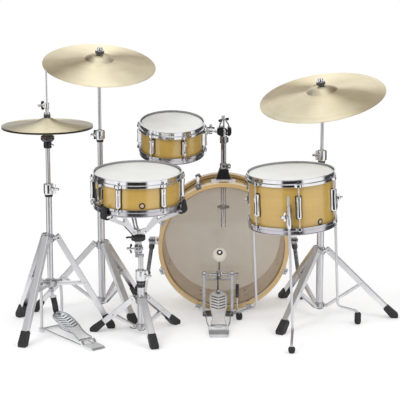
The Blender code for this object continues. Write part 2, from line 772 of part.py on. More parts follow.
def floor_tom(kit):
    place = tilted(FLOOR_TOM_HEAD, FLOOR_TOM_LEAN, FLOOR_TOM_ROLL)
    tom = anchor("floor_tom", place, kit)
    radius = FLOOR_TOM["radius"]
    brackets = []
    bores = []
    for azimuth in LEG_AZIMUTHS:
        low = (radius - 0.004, -LEG_BRACKET_HALF, LEG_BRACKET[1])
        high = (radius + LEG_OUT + LEG_BRACKET_HALF, LEG_BRACKET_HALF, LEG_BRACKET[0])
        holder = block(low, high)
        bore = rod((radius + LEG_OUT, 0, -0.2), (radius + LEG_OUT, 0, 0), LEG_ROD + 3 * GAP, 8)
        brackets.append(moved(holder, facing(azimuth)))
        bores.append(moved(bore, facing(azimuth)))
    shell("floor_tom_shell", FLOOR_TOM, tom, adds=brackets, cuts=bores)
    drum_top("floor_tom", FLOOR_TOM, tom)
    drum_foot("floor_tom", FLOOR_TOM, tom)
    for number, (azimuth, top) in enumerate(zip(LEG_AZIMUTHS, LEG_TOPS), 1):
        leg_place = facing(azimuth) @ Matrix.Translation((radius + LEG_OUT, 0, 0))
        route = floor_leg_route(top)
        # The foot stands on the floor wherever the lean puts the leg's end.
        end = place @ leg_place @ Vector(route[-1])
        down = (place @ leg_place).to_3x3().inverted() @ Vector((0, 0, -1))
        sole = Vector(route[-1]) + down * end.z
        foot = rod(Vector(route[-1]) - down * 0.006, sole, LEG_SOLE[0], 10, end_radius=LEG_SOLE[1])
        piece(f"floor_tom_leg_{number}", CHROME, bent_rod(route, LEG_ROD), tom, leg_place, adds=[foot])


# ---------- tripod stands ----------


def stand_azimuths(stand):
    return [stand["azimuth"] + 120 * i for i in range(3)]


def channel(start, end):
    """A U-section strip in the XZ plane, open underneath."""
    start, end = Vector(start), Vector(end)
    along = (end - start).normalized()
    up = Vector((-along.z, 0, along.x))
    if up.z < 0:
        up = -up
    half = LEG_WIDTH / 2
    inside = half - LEG_WALL
    lid = LEG_DEPTH / 2
    section = [
        (-half, -lid),
        (-half, lid),
        (half, lid),
        (half, -lid),
        (inside, -lid),
        (inside, lid - LEG_WALL),
        (-inside, lid - LEG_WALL),
        (-inside, -lid),
    ]
    shape = bmesh.new()
    ends = []
    for point in (start, end):
        ends.append([shape.verts.new(point + Vector((0, y, 0)) + up * z) for y, z in section])
    shape.faces.new(ends[0])
    shape.faces.new(list(reversed(ends[1])))
    for i in range(len(section)):
        j = (i + 1) % len(section)
        shape.faces.new((ends[0][i], ends[0][j], ends[1][j], ends[1][i]))
    bmesh.ops.recalc_face_normals(shape, faces=shape.faces)
    return shape


def tripod_legs(stand, parent):
    """Three legs, each with its origin on its pin and its hinge along its own Y."""
    run = stand["spread"] - LEG_PIVOT
    drop = stand["pin"]
    along = Vector((run, 0, -drop + 0.010)).normalized()
    up = Vector((-along.z, 0, along.x))
    end = Vector((run, 0, -drop + 0.010))
    heel = end - along * BOOT_LENGTH
    half_width, half_depth = BOOT_HALF
    boot = [
        (run + 0.015, -drop),
        (run - 0.014, -drop),
        (heel.x - up.x * half_depth, heel.z - up.z * half_depth),
        (heel.x + up.x * half_depth, heel.z + up.z * half_depth),
        (run + 0.017, -drop + 0.016),
    ]
    for number, azimuth in enumerate(stand_azimuths(stand), 1):
        place = facing(azimuth) @ Matrix.Translation((LEG_PIVOT, 0, stand["pin"]))
        strip = channel(along * -0.010, end - along * 0.02)
        name = f"{stand['name']}_leg_{number}"
        piece(name, CHROME, strip, parent, place, adds=[slab(boot, -half_width, half_width)])


def base_tube(stand):
    """The turned part of a stand's base: hub, tube, collar and clamp round one bore."""
    tube, bore = stand["tube"], stand["bore"]
    hub_low, hub_top = stand["hub"]
    collar_low, collar_top = stand["collar"]
    clamp_low, top = stand["top"] - CLAMP_TALL, stand["top"]
    return turned(
        [
            (bore, hub_low),
            (tube + HUB_OUT, hub_low),
            (tube + HUB_OUT, hub_top),
            (tube, hub_top),
            (tube, collar_low),
            (tube + COLLAR_OUT, collar_low),
            (tube + COLLAR_OUT, collar_top),
            (tube, collar_top),
            (tube, clamp_low),
            (tube + COLLAR_OUT, clamp_low),
            (tube + COLLAR_OUT, top),
            (bore, top),
        ],
        TUBE_SIDES,
    )


def stand_ears(stand):
    """Tongues that the legs straddle, and smaller ones on the hub for their braces."""
    shapes = []
    pin = stand["pin"]
    hub_low, hub_top = stand["hub"]
    root = stand["tube"] - 0.002
    tongue = [
        (root, pin - 0.011),
        (LEG_PIVOT, pin - 0.0058),
        (LEG_PIVOT + 0.0045, pin - 0.002),
        (LEG_PIVOT + 0.002, pin + 0.0045),
        (root, pin + 0.009),
    ]
    foot = [
        (root, hub_low + 0.004),
        (HUB_EAR_OUT, hub_low + 0.006),
        (HUB_EAR_OUT, hub_top - 0.006),
        (root, hub_top - 0.004),
    ]
    for azimuth in stand_azimuths(stand):
        shapes.append(moved(slab(tongue, -TONGUE_HALF, TONGUE_HALF), facing(azimuth)))
        shapes.append(moved(slab(foot, -0.004, 0.004), facing(azimuth)))
    return shapes


def wing_bolt(height, out, azimuth, length=0.020):
    """A bolt with a flat wing, standing out of a clamp."""
    end = out + length
    shank = rod((out - 0.006, 0, height), (end, 0, height), BOLT, 8)
    wing = block((end - WING_WIDTH, -0.002, height - WING_HALF), (end, 0.002, height + WING_HALF))
    return [moved(shank, facing(azimuth)), moved(wing, facing(azimuth))]


def stand_base(stand, kit, adds=(), wing_at=180):
    unit = anchor(f"{stand['name']}_unit", Matrix.Translation((*stand["at"], 0)), kit)
    wing = wing_bolt(stand["top"] - CLAMP_TALL / 2, stand["tube"] + COLLAR_OUT, wing_at)
    piece(
        f"{stand['name']}_base",
        CHROME,
        base_tube(stand),
        unit,
        adds=[*stand_ears(stand), *wing, *adds],
    )
    tripod_legs(stand, unit)
    return unit


# ---------- cymbals ----------


def cymbal_profile(cymbal):
    """Upper face from the hole to the rim, then the lower face back; the rim is at height 0."""
    bell, bow, rise = cymbal["bell"], cymbal["bow"], cymbal["bell_height"]
    upper = [
        (cymbal["hole"], bow + rise),
        (bell * 0.45, bow + rise - 0.0035),
        (bell * 0.95, bow + 0.002),
        ((bell + cymbal["radius"]) / 2, bow * 0.62),
        (cymbal["radius"], 0),
    ]
    lower = [(radius, height - CYMBAL_THICKNESS) for radius, height in reversed(upper)]
    return upper + lower


def cymbal_post(stand, tilt, unit):
    """The sliding part of a cymbal stand: middle tube, clamp, thin tube and the hinge's fixed cheek."""
    foot = stand["top"] - POST_INSIDE
    tip = tilt["hinge"]
    middle_top, clamp_top = tilt["clamp"]
    middle = stand["bore"] - 2 * GAP
    profile = [
        (0, foot),
        (middle, foot),
        (middle, middle_top),
        (CLAMP_RADIUS, middle_top),
        (CLAMP_RADIUS, clamp_top),
        (THIN_TUBE, clamp_top),
        (THIN_TUBE, tip - 0.024),
        (POST_NECK, tip - 0.020),
        (POST_NECK, tip - CHEEK - 0.001),
        (0, tip - CHEEK - 0.001),
    ]
    cheek = rod((-CHEEK_THICK, 0, tip), (-GAP, 0, tip), CHEEK)
    neck = block((-0.0085, -0.0065, tip - 0.018), (-0.0015, 0.0065, tip - 0.006))
    wing = wing_bolt((middle_top + clamp_top) / 2, CLAMP_RADIUS, -90)
    name = stand["name"].replace("stand", "post")
    piece(name, CHROME, turned(profile, TUBE_SIDES), unit, adds=[cheek, neck, *wing])


def cymbal_on_tilter(name, cymbal, tilt, unit):
    """The tilter turns about its X; the cymbal spins about the tilter's stud."""
    tilter = anchor(f"{name}_tilt", tilted((0, 0, tilt["hinge"]), tilt["lean"], tilt["roll"]), unit)
    cheek = rod((0.0018, 0, 0), (CHEEK_THICK, 0, 0), CHEEK)
    knuckle = block((0.0030, -0.006, 0.006), (0.0115, 0.006, 0.019))
    felt_low, felt_top = (SEAT + height for height in FELTS)
    nut_low, nut_top = (SEAT + height for height in WING_NUT)
    stem = [
        (0, CHEEK + 0.003),
        (0.008, CHEEK + 0.003),
        (0.008, 0.024),
        (TILTER_BODY, 0.026),
        (TILTER_BODY, SEAT),
        (STUD, SEAT),
        (STUD, felt_low),
        (FELT, felt_low),
        (FELT, felt_top),
        (STUD + 0.001, felt_top + 0.002),
        (STUD + 0.001, nut_top - 0.002),
        (0, nut_top - 0.002),
    ]
    ears = block((-WING_NUT_HALF, -0.002, nut_low), (WING_NUT_HALF, 0.002, nut_top))
    adds = [cheek, knuckle, ears]
    piece(f"{name}_tilter", DARK_STEEL, turned(stem, TUBE_SIDES), tilter, adds=adds)
    rim = SEAT + 0.004 + CYMBAL_THICKNESS - cymbal["bow"] - cymbal["bell_height"]
    plate = turned(cymbal_profile(cymbal), CYMBAL_SIDES)
    piece(f"{name}_cymbal", CYMBAL_BRASS, plate, tilter, Matrix.Translation((0, 0, rim)))


def crash(kit):
    unit = stand_base(CRASH_STAND, kit, wing_at=-160)
    cymbal_post(CRASH_STAND, CRASH_TILT, unit)
    cymbal_on_tilter("crash", CRASH, CRASH_TILT, unit)


def ride(kit):
    unit = stand_base(RIDE_STAND, kit, wing_at=160)
    cymbal_post(RIDE_STAND, RIDE_TILT, unit)
    cymbal_on_tilter("ride", RIDE, RIDE_TILT, unit)


# ---------- snare drum on its stand ----------


def snare_base(kit):
    radius, low, high = SNARE_RING
    ring = ring_cylinder(BASE_TUBE - 0.001, radius, low, high)
    return stand_base(SNARE_STAND, kit, adds=[ring], wing_at=60)


def snare_post(unit):
    """The sliding tube and the tilter's fixed cheek, which stands to one side of the tube."""
    offset = SNARE_X - SNARE_STAND["at"][0]
    tip = SNARE_TILTER
    tube = rod((0, 0, SNARE_POST_FOOT), (0, 0, tip - 0.024), SNARE_POST)
    seat = block((offset - 0.013, -0.012, tip - 0.034), (0.012, 0.012, tip - 0.0215))
    cheek = rod((offset - SNARE_CHEEK_THICK, 0, tip), (offset - GAP, 0, tip), SNARE_CHEEK)
    neck = block((offset - 0.0125, -0.012, tip - 0.030), (offset - 0.0015, 0.012, tip - 0.010))
    wing = wing_bolt(tip, 0.012 - offset, -90, 0.024)
    piece("snare_stand_post", CHROME, tube, unit, adds=[seat, cheek, neck, *wing])


def basket_arm_outlines():
    """An arm from the knob to the drum's lower hoop, and the tip that holds the hoop's edge."""
    hoop_foot = SNARE_HEAD - SNARE["depth"] - HOOP_TOP
    reach = SNARE["radius"] + SNARE["reach"]
    (root_low, root_top), root_out = ARM_ROOT
    arm = [
        (0.006, root_low + 0.002),
        (root_out, root_low),
        (reach + 0.004, hoop_foot - 0.022),
        (reach + 0.004, hoop_foot - 0.006),
        (reach - 0.012, hoop_foot - 0.014),
        (root_out, root_top),
        (0.006, root_top - 0.002),
    ]
    tip = [
        (reach - 0.030, hoop_foot - 0.018),
        (reach + 0.005, hoop_foot - 0.022),
        (reach + 0.016, hoop_foot - 0.006),
        (reach + 0.017, hoop_foot + 0.030),
        (reach + 0.008, hoop_foot + 0.033),
        (reach + 0.0015, hoop_foot + 0.024),
        (reach + 0.0015, hoop_foot - 0.0015),
        (reach - 0.024, hoop_foot - 0.0015),
    ]
    return arm, tip


def snare_basket(unit):
    """Hinged cheek, clamp knob, hub and the three arms that hold the drum's lower hoop."""
    offset = SNARE_X - SNARE_STAND["at"][0]
    place = tilted((offset, 0, SNARE_TILTER), SNARE_LEAN)
    basket = anchor("snare_basket_tilt", place, unit)
    cheek = rod((0.0012, 0, 0), (SNARE_CHEEK_THICK, 0, 0), SNARE_CHEEK)
    stem = block((0.0022, -0.009, 0.006), (0.0125, 0.009, 0.040))
    knob, knob_low, knob_top = KNOB
    core, core_top = CORE
    core_profile = [
        (0, 0.0205),
        (0.011, 0.0205),
        (0.011, knob_low),
        (knob, knob_low),
        (knob, knob_top),
        (core, knob_top + 0.002),
        (core, core_top),
        (0, core_top),
    ]
    handle_out, handle_low, handle_top = HANDLE
    handle = block((handle_out, -0.005, handle_low), (-0.020, 0.005, handle_top))
    adds = [turned(core_profile, TUBE_SIDES), stem, handle]
    for azimuth in BASKET_AZIMUTHS:
        arm, tip = basket_arm_outlines()
        adds.append(moved(slab(arm, -ARM_HALF, ARM_HALF), facing(azimuth)))
        adds.append(moved(slab(tip, -TIP_HALF, TIP_HALF), facing(azimuth)))
    piece("snare_stand_basket", CHROME, cheek, basket, adds=adds)
    return basket


def snare(basket):
    drum = anchor("snare", Matrix.Translation((0, 0, SNARE_HEAD)), basket)
    radius = SNARE["radius"]
    half, low, high = STRAINER_PLATE
    plate = block((radius - 0.004, -half, low), (radius + 0.012, half, high))
    half, low, high = BUTT_PLATE
    butt = block((radius - 0.004, -half, low), (radius + 0.010, half, high))
    shell(
        "snare_shell",
        SNARE,
        drum,
        adds=[moved(plate, facing(STRAINER_AT)), moved(butt, facing(STRAINER_AT + 180))],
    )
    drum_top("snare", SNARE, drum)
    side_head = turned(flipped(head_profile(SNARE), SNARE["depth"]), RING_SIDES)
    piece("snare_side_head", CLEAR_FILM, side_head, drum)
    side_hoop = turned(flipped(hoop_profile(SNARE), SNARE["depth"]), RING_SIDES)
    piece("snare_side_hoop", CHROME, side_hoop, drum, adds=tension_rods(SNARE, True))
    hinge_out, hinge_up = STRAINER_HINGE
    place = facing(STRAINER_AT) @ Matrix.Translation((radius + hinge_out, 0, hinge_up))
    lever = rod((0, -0.010, 0), (0, 0.010, 0), 0.0058)
    outline = [(-0.003, 0), (0.004, 0), (0.010, LEVER_ARM - 0.002), (0.005, LEVER_ARM)]
    arm = slab(outline, -0.007, 0.007)
    piece("snare_strainer_lever", CHROME, lever, drum, place, adds=[arm])


def snare_unit(kit):
    unit = snare_base(kit)
    snare_post(unit)
    snare(snare_basket(unit))


# ---------- hi-hat ----------


def hihat_base(kit):
    """Base tube, lower casting, pedal frame, and the heel plate on its two radius rods."""
    hub_low, hub_top = HIHAT_STAND["hub"]
    heel_near, heel_far = HIHAT_PEDAL["heel"]
    out = HIHAT_POST_OUT
    pedal = facing(HIHAT_PEDAL_AT)
    adds = [
        ring_cylinder(HIHAT_STAND["bore"] + 0.001, 0.024, hub_low + 0.006, hub_top - 0.004),
        rod((0, -out - 0.004, 0.012), (0, out + 0.004, 0.012), 0.0075),
        block((heel_near, -HEEL_HALF, FLOOR_GAP), (heel_far, HEEL_HALF, HEEL_TOP)),
    ]
    for side in (-1, 1):
        near, far = sorted((side * 0.014, side * out))
        post = [
            (0, side * out, hub_top - 0.012),
            (0.004, side * (out + 0.002), 0.100),
            (0, side * out, 0.004),
        ]
        adds.append(block((-0.008, near, hub_low + 0.010), (0.008, far, hub_top - 0.008)))
        adds.append(bent_rod(post, 0.0062))
        y = side * (HEEL_HALF - 0.008)
        adds.append(rod((0.004, y, 0.010), (heel_near + 0.006, y, 0.006), WIRE, 6))
    return stand_base(HIHAT_STAND, kit, adds=[moved(shape, pedal) for shape in adds], wing_at=70)


def footboard(name, pedal, parent, place):
    """A pedal plate from its heel hinge to its toe; its origin and its Y axis are on the hinge."""
    hinge_out, hinge_up = pedal["hinge"]
    run = pedal["toe"][0] - hinge_out
    rise = pedal["toe"][1] - hinge_up
    heel_half, toe_half = pedal["width"][0] / 2, pedal["width"][1] / 2
    length = math.hypot(run, rise)
    shape = bmesh.new()
    outline = [
        (-0.002, -heel_half),
        (0.5 * length, -toe_half),
        (length - 0.012, -toe_half),
        (length, -toe_half + 0.016),
        (length, toe_half - 0.016),
        (length - 0.012, toe_half),
        (0.5 * length, toe_half),
        (-0.002, heel_half),
    ]
    low = [shape.verts.new((x, y, -BOARD_HALF)) for x, y in outline]
    high = [shape.verts.new((x, y, BOARD_HALF)) for x, y in outline]
    shape.faces.new(low)
    shape.faces.new(list(reversed(high)))
    for i in range(len(outline)):
        j = (i + 1) % len(outline)
        shape.faces.new((low[i], low[j], high[j], high[i]))
    bmesh.ops.recalc_face_normals(shape, faces=shape.faces)
    slope = Matrix.Rotation(math.atan2(rise, -run), 4, "Y") @ Matrix.Rotation(math.pi, 4, "Z")
    moved(shape, slope)
    knuckle = rod((0, -heel_half + 0.003, 0), (0, heel_half - 0.003, 0), 0.0048, 10)
    rib_start = slope @ Vector((length * 0.55, 0, -0.006))
    rib_end = slope @ Vector((length - 0.010, 0, -0.006))
    rib = rod(rib_start, rib_end, 0.006, 6)
    piece(name, ALUMINIUM, shape, parent, place, adds=[knuckle, rib])


def hihat_upper(unit):
    """Sliding tube with the neck and cup that carry the bottom cymbal, and that cymbal."""
    foot = HIHAT_STAND["top"] - 0.20
    bore = PULL_ROD + 0.0016
    neck, neck_low, neck_top = HIHAT_NECK
    profile = [
        (bore, foot),
        (HIHAT_TUBE, foot),
        (HIHAT_TUBE, neck_low),
        (neck, neck_low),
        (neck, neck_top),
        (HIHAT_CUP, HIHAT_CUP_FOOT),
        (HIHAT_CUP, HIHAT_SEAT - 0.004),
        (HIHAT_CUP - 0.0045, HIHAT_SEAT - GAP),
        (bore, HIHAT_SEAT - GAP),
    ]
    piece("hihat_upper_tube", CHROME, turned(profile, TUBE_SIDES), unit)
    rise = HIHAT["bow"] + HIHAT["bell_height"]
    plate = turned(cymbal_profile(HIHAT), CYMBAL_SIDES)
    upside_down = Matrix.Translation((0, 0, HIHAT_SEAT + rise)) @ Matrix.Rotation(math.pi, 4, "X")
    piece("hihat_bottom_cymbal", CYMBAL_BRASS, plate, unit, upside_down)


def hihat_top(unit):
    """Pull rod with its clutch, and the top cymbal that the clutch holds."""
    rim = HIHAT_SEAT + HIHAT["bow"] + HIHAT["bell_height"] + HIHAT_GAP
    hole = rim + HIHAT["bow"] + HIHAT["bell_height"]
    rod_foot, rod_top = HIHAT_ROD_ENDS
    clutch, clutch_low, clutch_top = CLUTCH
    under = hole - CYMBAL_THICKNESS - 0.004
    profile = [
        (0, rod_foot),
        (PULL_ROD, rod_foot),
        (PULL_ROD, hole - 0.020),
        (HIHAT_FELT - 0.0015, hole - 0.018),
        (HIHAT_FELT - 0.0015, under),
        (clutch - 0.002, under),
        (clutch - 0.002, hole + GAP),
        (HIHAT_FELT, hole + GAP),
        (HIHAT_FELT, hole + clutch_low - 0.002),
        (clutch, hole + clutch_low),
        (clutch, hole + clutch_top),
        (PULL_ROD, hole + clutch_top + 0.002),
        (PULL_ROD, rod_top),
        (0, rod_top),
    ]
    wing = wing_bolt(hole + clutch_top - 0.010, clutch, -95, 0.016)
    piece("hihat_pull_rod", CHROME, turned(profile, TUBE_SIDES), unit, adds=wing)
    plate = turned(cymbal_profile(HIHAT), CYMBAL_SIDES)
    piece("hihat_top_cymbal", CYMBAL_BRASS, plate, unit, Matrix.Translation((0, 0, rim)))


def hihat(kit):
    unit = hihat_base(kit)
    hihat_upper(unit)
    hihat_top(unit)
    out, up = HIHAT_PEDAL["hinge"]
    place = facing(HIHAT_PEDAL_AT) @ Matrix.Translation((out, 0, up))
    footboard("hihat_footboard", HIHAT_PEDAL, unit, place)


# ---------- bass drum pedal ----------


def pedal_frame(unit):
    """Base plate with the hoop clamp, two posts, their bridge, the heel plate and its side wires."""
    half = PEDAL_HALF
    heel_near, heel_far = BASS_PEDAL["heel"]
    post_half = PEDAL_POST_HALF
    clamp = CLAMP_HALF
    bridge = AXLE_HEIGHT - BRIDGE_DROP
    base = block(
        (-half - post_half, -PEDAL_BASE_HALF, FLOOR_GAP), (half + post_half, PEDAL_BASE_HALF, 0.012)
    )
    adds = [
        block((-0.024, 0.024, FLOOR_GAP), (0.024, 0.066, 0.0058)),
        block((-clamp, 0.024, 0.008), (clamp, 0.0365, 0.034)),
        block((-clamp, 0.030, 0.0215), (clamp, 0.050, 0.034)),
        block((-PEDAL_HEEL_HALF, -heel_far, FLOOR_GAP), (PEDAL_HEEL_HALF, -heel_near, HEEL_TOP)),
        rod((-half, -0.004, bridge), (half, -0.004, bridge), 0.004, 8),
        block((half, -0.008, 0.003), (SPRING_X + 0.008, 0.008, 0.0125)),
    ]
    bores = []
    for side in (-1, 1):
        x = side * half
        # An outline of (y, z), turned a quarter to stand along the post's side of the frame.
        post = [
            (-0.013, 0.004),
            (0.013, 0.004),
            (0.008, 0.060),
            (0.010, AXLE_HEIGHT + 0.008),
            (0.005, AXLE_HEIGHT + 0.014),
            (-0.005, AXLE_HEIGHT + 0.014),
            (-0.010, AXLE_HEIGHT + 0.008),
            (-0.008, 0.060),
        ]
        adds.append(moved(slab(post, x - post_half, x + post_half), spin_z(-90)))
        adds.append(rod((side * 0.050, -0.020, 0.006), (side * 0.030, -heel_near - 0.006, 0.006), WIRE, 6))
        bores.append(rod((x - 0.02, 0, AXLE_HEIGHT), (x + 0.02, 0, AXLE_HEIGHT), AXLE + 2 * GAP))
    piece("pedal_frame", ALUMINIUM, base, unit, adds=adds, cuts=bores)


def pedal_beater(unit):
    """Axle with its cam, spring rocker, shaft and felt; the origin is on the axle."""
    back = Matrix.Rotation(math.radians(BEATER_BACK), 4, "X")
    axle = rod((-PEDAL_HALF - 0.012, 0, 0), (SPRING_X + 0.008, 0, 0), AXLE)
    hub = moved(block((-0.017, -0.009, -0.010), (0.012, 0.009, HUB_TOP)), back)
    radius, half = BEATER
    low, high = BEATER_LENGTH - half, BEATER_LENGTH + half
    shaft = moved(rod((BEATER_SIDE, 0, 0.010), (BEATER_SIDE, 0, high + 0.004), SHAFT, 8), back)
    felt = [
        (0, low),
        (radius - 0.0065, low),
        (radius, low + 0.008),
        (radius, high - 0.008),
        (radius - 0.0065, high),
        (0, high),
    ]
    head = moved(turned(felt, 16), back @ Matrix.Translation((BEATER_SIDE, 0, 0)))
    rocker = block((SPRING_X - 0.005, -0.016, -0.010), (SPRING_X + 0.005, 0.008, 0.008))
    piece(
        "pedal_beater",
        CHROME,
        axle,
        unit,
        Matrix.Translation((0, 0, AXLE_HEIGHT)),
        adds=[hub, shaft, head, rocker],
    )


def pedal_spring(unit):
    low, high = SPRING_ENDS
    coil, coil_low, coil_high = COIL
    profile = [
        (0, low),
        (SPRING_HOOK, low),
        (SPRING_HOOK, coil_low - 0.004),
        (coil, coil_low),
        (coil, coil_high),
        (SPRING_HOOK, coil_high + 0.004),
        (SPRING_HOOK, high),
        (0, high),
    ]
    piece("pedal_spring", DARK_STEEL, turned(profile, 10), unit, Matrix.Translation((SPRING_X, -0.003, 0)))


def bass_pedal(kit):
    unit = anchor("bass_pedal", Matrix.Translation((*PEDAL_AT, 0)), kit)
    pedal_frame(unit)
    pedal_beater(unit)
    pedal_spring(unit)
    out, up = BASS_PEDAL["hinge"]
    footboard("pedal_footboard", BASS_PEDAL, unit, facing(0) @ Matrix.Translation((out, 0, up)))


# ---------- assembly ----------


def main():
    clear_scene()
    kit = anchor("kit", Matrix.Translation((-KIT_CENTRE[0], -KIT_CENTRE[1], 0)))
    bass_drum(kit)
    spurs(kit)
    tom_mount(kit)
    tom_holder(kit)
    rack_tom(kit)
    floor_tom(kit)
    bass_pedal(kit)
    snare_unit(kit)
    hihat(kit)
    crash(kit)
    ride(kit)


main()
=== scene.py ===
# An acoustic drum kit, dressed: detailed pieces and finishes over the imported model's frame.
# Metres, +Z up, the drummer's side towards -Y.
import json
from math import atan2, copysign, cos, degrees, hypot, pi, radians, sin, sqrt

import bmesh
import bpy
from mathutils import Matrix, Vector


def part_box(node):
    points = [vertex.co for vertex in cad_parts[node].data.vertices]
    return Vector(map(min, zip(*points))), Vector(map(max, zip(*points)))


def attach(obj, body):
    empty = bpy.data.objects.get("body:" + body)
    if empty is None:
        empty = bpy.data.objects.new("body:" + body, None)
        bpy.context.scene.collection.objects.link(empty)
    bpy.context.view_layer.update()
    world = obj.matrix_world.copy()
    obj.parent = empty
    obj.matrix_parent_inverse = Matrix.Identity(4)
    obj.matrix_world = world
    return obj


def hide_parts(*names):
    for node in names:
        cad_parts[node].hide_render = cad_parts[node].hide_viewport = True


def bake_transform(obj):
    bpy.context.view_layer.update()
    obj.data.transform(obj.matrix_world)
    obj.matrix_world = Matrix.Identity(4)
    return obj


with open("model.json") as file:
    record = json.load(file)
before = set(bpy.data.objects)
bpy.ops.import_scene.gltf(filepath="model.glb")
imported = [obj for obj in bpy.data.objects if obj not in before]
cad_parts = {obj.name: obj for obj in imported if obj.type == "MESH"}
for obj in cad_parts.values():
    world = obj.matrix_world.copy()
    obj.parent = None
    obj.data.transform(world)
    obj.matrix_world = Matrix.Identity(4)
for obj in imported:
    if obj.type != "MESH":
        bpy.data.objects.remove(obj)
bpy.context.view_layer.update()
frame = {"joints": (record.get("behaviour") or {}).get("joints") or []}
joints = {joint["name"]: joint for joint in frame["joints"]}
inch = .0254
sharpAngle = radians(38)  # edges sharper than this are kept or bevelled


# Places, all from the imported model

def pivot(joint):
    return Vector(joints[joint]["pos_m"])


def middle(node):
    low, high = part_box(node)
    return (low + high) / 2


def at(point):
    return Matrix.Translation(point)


def shift(x, y, z):
    return at((x, y, z))


def turn(degrees, axis="Z"):
    return Matrix.Rotation(radians(degrees), 4, axis)


# Turns +X to point out at an azimuth counted from -Y towards +X.
def facing(azimuth):
    return turn(azimuth - 90)


# Leaned towards the drummer, then rolled with its right side down.
def tilted(location, lean=0, roll=0):
    return at(location) @ turn(lean, "X") @ turn(roll, "Y")


# Shapes are pairs of points and faces; a piece gathers several.

def moved(shape, place):
    points, faces = shape
    return [place @ point for point in points], faces


def gathered(shapes):
    points, faces = [], []
    for shapePoints, shapeFaces in shapes:
        start = len(points)
        points += shapePoints
        faces += [[start + corner for corner in face] for face in shapeFaces]
    return points, faces


# Corners of an outline or route rounded off by at most cut; points on the axis stay.
def softened(outline, cut, steps=3, closed=True):
    soft = []
    last = len(outline) - 1
    for i, corner in enumerate(outline):
        here = Vector(corner)
        fixed = (not closed and i in (0, last)) or (closed and len(corner) == 2 and corner[0] == 0)
        if fixed:
            soft.append(here)
            continue
        back = Vector(outline[i - 1]) - here
        ahead = Vector(outline[(i + 1) % len(outline)]) - here
        size = min(cut, back.length * .45, ahead.length * .45)
        start = here + back.normalized() * size
        end = here + ahead.normalized() * size
        for step in range(steps + 1):
            t = step / steps
            soft.append(start.lerp(here, t).lerp(here.lerp(end, t), t))
    return soft


# A closed outline of (radius, height) turned about Z, its corners cut; warp may move each point.
def lathe(outline, sides=48, cut=0, steps=2, warp=None):
    outline = softened(outline, cut, steps) if cut else outline
    points, rings = [], []
    for radius, height in outline:
        if radius == 0:
            rings.append([len(points)])
            points.append(Vector((0, 0, height)))
            continue
        rings.append(list(range(len(points), len(points) + sides)))
        for i in range(sides):
            angle = 2 * pi * i / sides
            r, z = warp(angle, radius, height) if warp else (radius, height)
            points.append(Vector((r * cos(angle), r * sin(angle), z)))
    faces = []
    for low, high in zip(rings, rings[1:] + rings[:1]):
        if len(low) == 1 and len(high) == 1:
            continue
        for i in range(sides):
            corners = []
            for ring, step in ((low, i), (low, i + 1), (high, i + 1), (high, i)):
                corner = ring[step % len(ring)]
                if corner not in corners:
                    corners.append(corner)
            faces.append(corners)
    return points, faces


# Rings of the same count of points, joined in order and capped.
def loft(rings, capped=True):
    points = [Vector(point) for ring in rings for point in ring]
    count = len(rings[0])
    faces = []
    for i in range(len(rings) - 1):
        for j in range(count):
            k = (j + 1) % count
            low, high = i * count, (i + 1) * count
            faces.append([low + j, low + k, high + k, high + j])
    if capped:
        faces.append(list(range(count - 1, -1, -1)))
        faces.append(list(range(len(points) - count, len(points))))
    return points, faces


# A bar of round or given section along a route; radius may be one number or one for each point.
def sweep(route, radius, sides=12, section=None, side=None):
    route = [Vector(point) for point in route]
    radii = radius if isinstance(radius, (list, tuple)) else [radius] * len(route)
    section = section or circle(0, 0, 1, sides)
    rings = []
    side = Vector(side) if side else None
    for i, point in enumerate(route):
        before = (point - route[i - 1]).normalized() if i else None
        after = (route[i + 1] - point).normalized() if i + 1 < len(route) else None
        along = ((before or after) + (after or before)).normalized()
        if side is None:
            side = along.orthogonal().normalized()
        side = (side - along * side.dot(along)).normalized()
        cross = along.cross(side)
        rings.append([point + radii[i] * (side * x + cross * y) for x, y in section])
    return loft(rings)


# A solid turned shape: its outline is closed on the axis, level with its first and last points.
def turned(outline, sides=32, cut=0, steps=2):
    first = [(0, outline[0][1])] if outline[0][0] else []
    last = [(0, outline[-1][1])] if outline[-1][0] else []
    return lathe([*first, *outline, *last], sides, cut, steps)


# A turned piece that starts at one point and goes towards another.
def spindle(outline, start, end, sides=32, cut=0, steps=2):
    start, end = Vector(start), Vector(end)
    way = Vector((0, 0, 1)).rotation_difference(end - start).to_matrix().to_4x4()
    return moved(turned(outline, sides, cut, steps), at(start) @ way)


# A round bar with chamfered ends.
def bar(start, end, radius, sides=24, chamfer=.0006):
    length = (Vector(end) - Vector(start)).length
    chamfer = min(chamfer, radius * .4, length * .3)
    outline = [
        (radius - chamfer, 0), (radius, chamfer), (radius, length - chamfer), (radius - chamfer, length),
    ]
    return spindle(outline, start, end, sides)


# A plain tube about Z.
def pipe(radius, wall, low, high, sides=40):
    return lathe([(radius - wall, low), (radius, low), (radius, high), (radius - wall, high)], sides)


# An outline of (x, z) points, its corners cut, with holes, made solid from y = low to y = high.
def slab(outline, low, high, cut=0, steps=4, holes=()):
    outline = softened(outline, cut, steps) if cut else outline
    shape = bmesh.new()
    edges = []
    for loop in (outline, *holes):
        verts = [shape.verts.new((point[0], low, point[1])) for point in loop]
        edges += [shape.edges.new((verts[i - 1], verts[i])) for i in range(len(verts))]
    if holes:
        bmesh.ops.triangle_fill(shape, edges=edges, use_beauty=True, use_dissolve=False)
    else:
        shape.faces.new(list(shape.verts))
    grown = bmesh.ops.extrude_face_region(shape, geom=list(shape.faces), use_keep_orig=True)
    lifted = [item for item in grown["geom"] if isinstance(item, bmesh.types.BMVert)]
    bmesh.ops.translate(shape, vec=(0, high - low, 0), verts=lifted)
    return unpacked(shape)


def unpacked(shape):
    shape.verts.index_update()
    points = [vert.co.copy() for vert in shape.verts]
    faces = [[vert.index for vert in face.verts] for face in shape.faces]
    shape.free()
    return points, faces


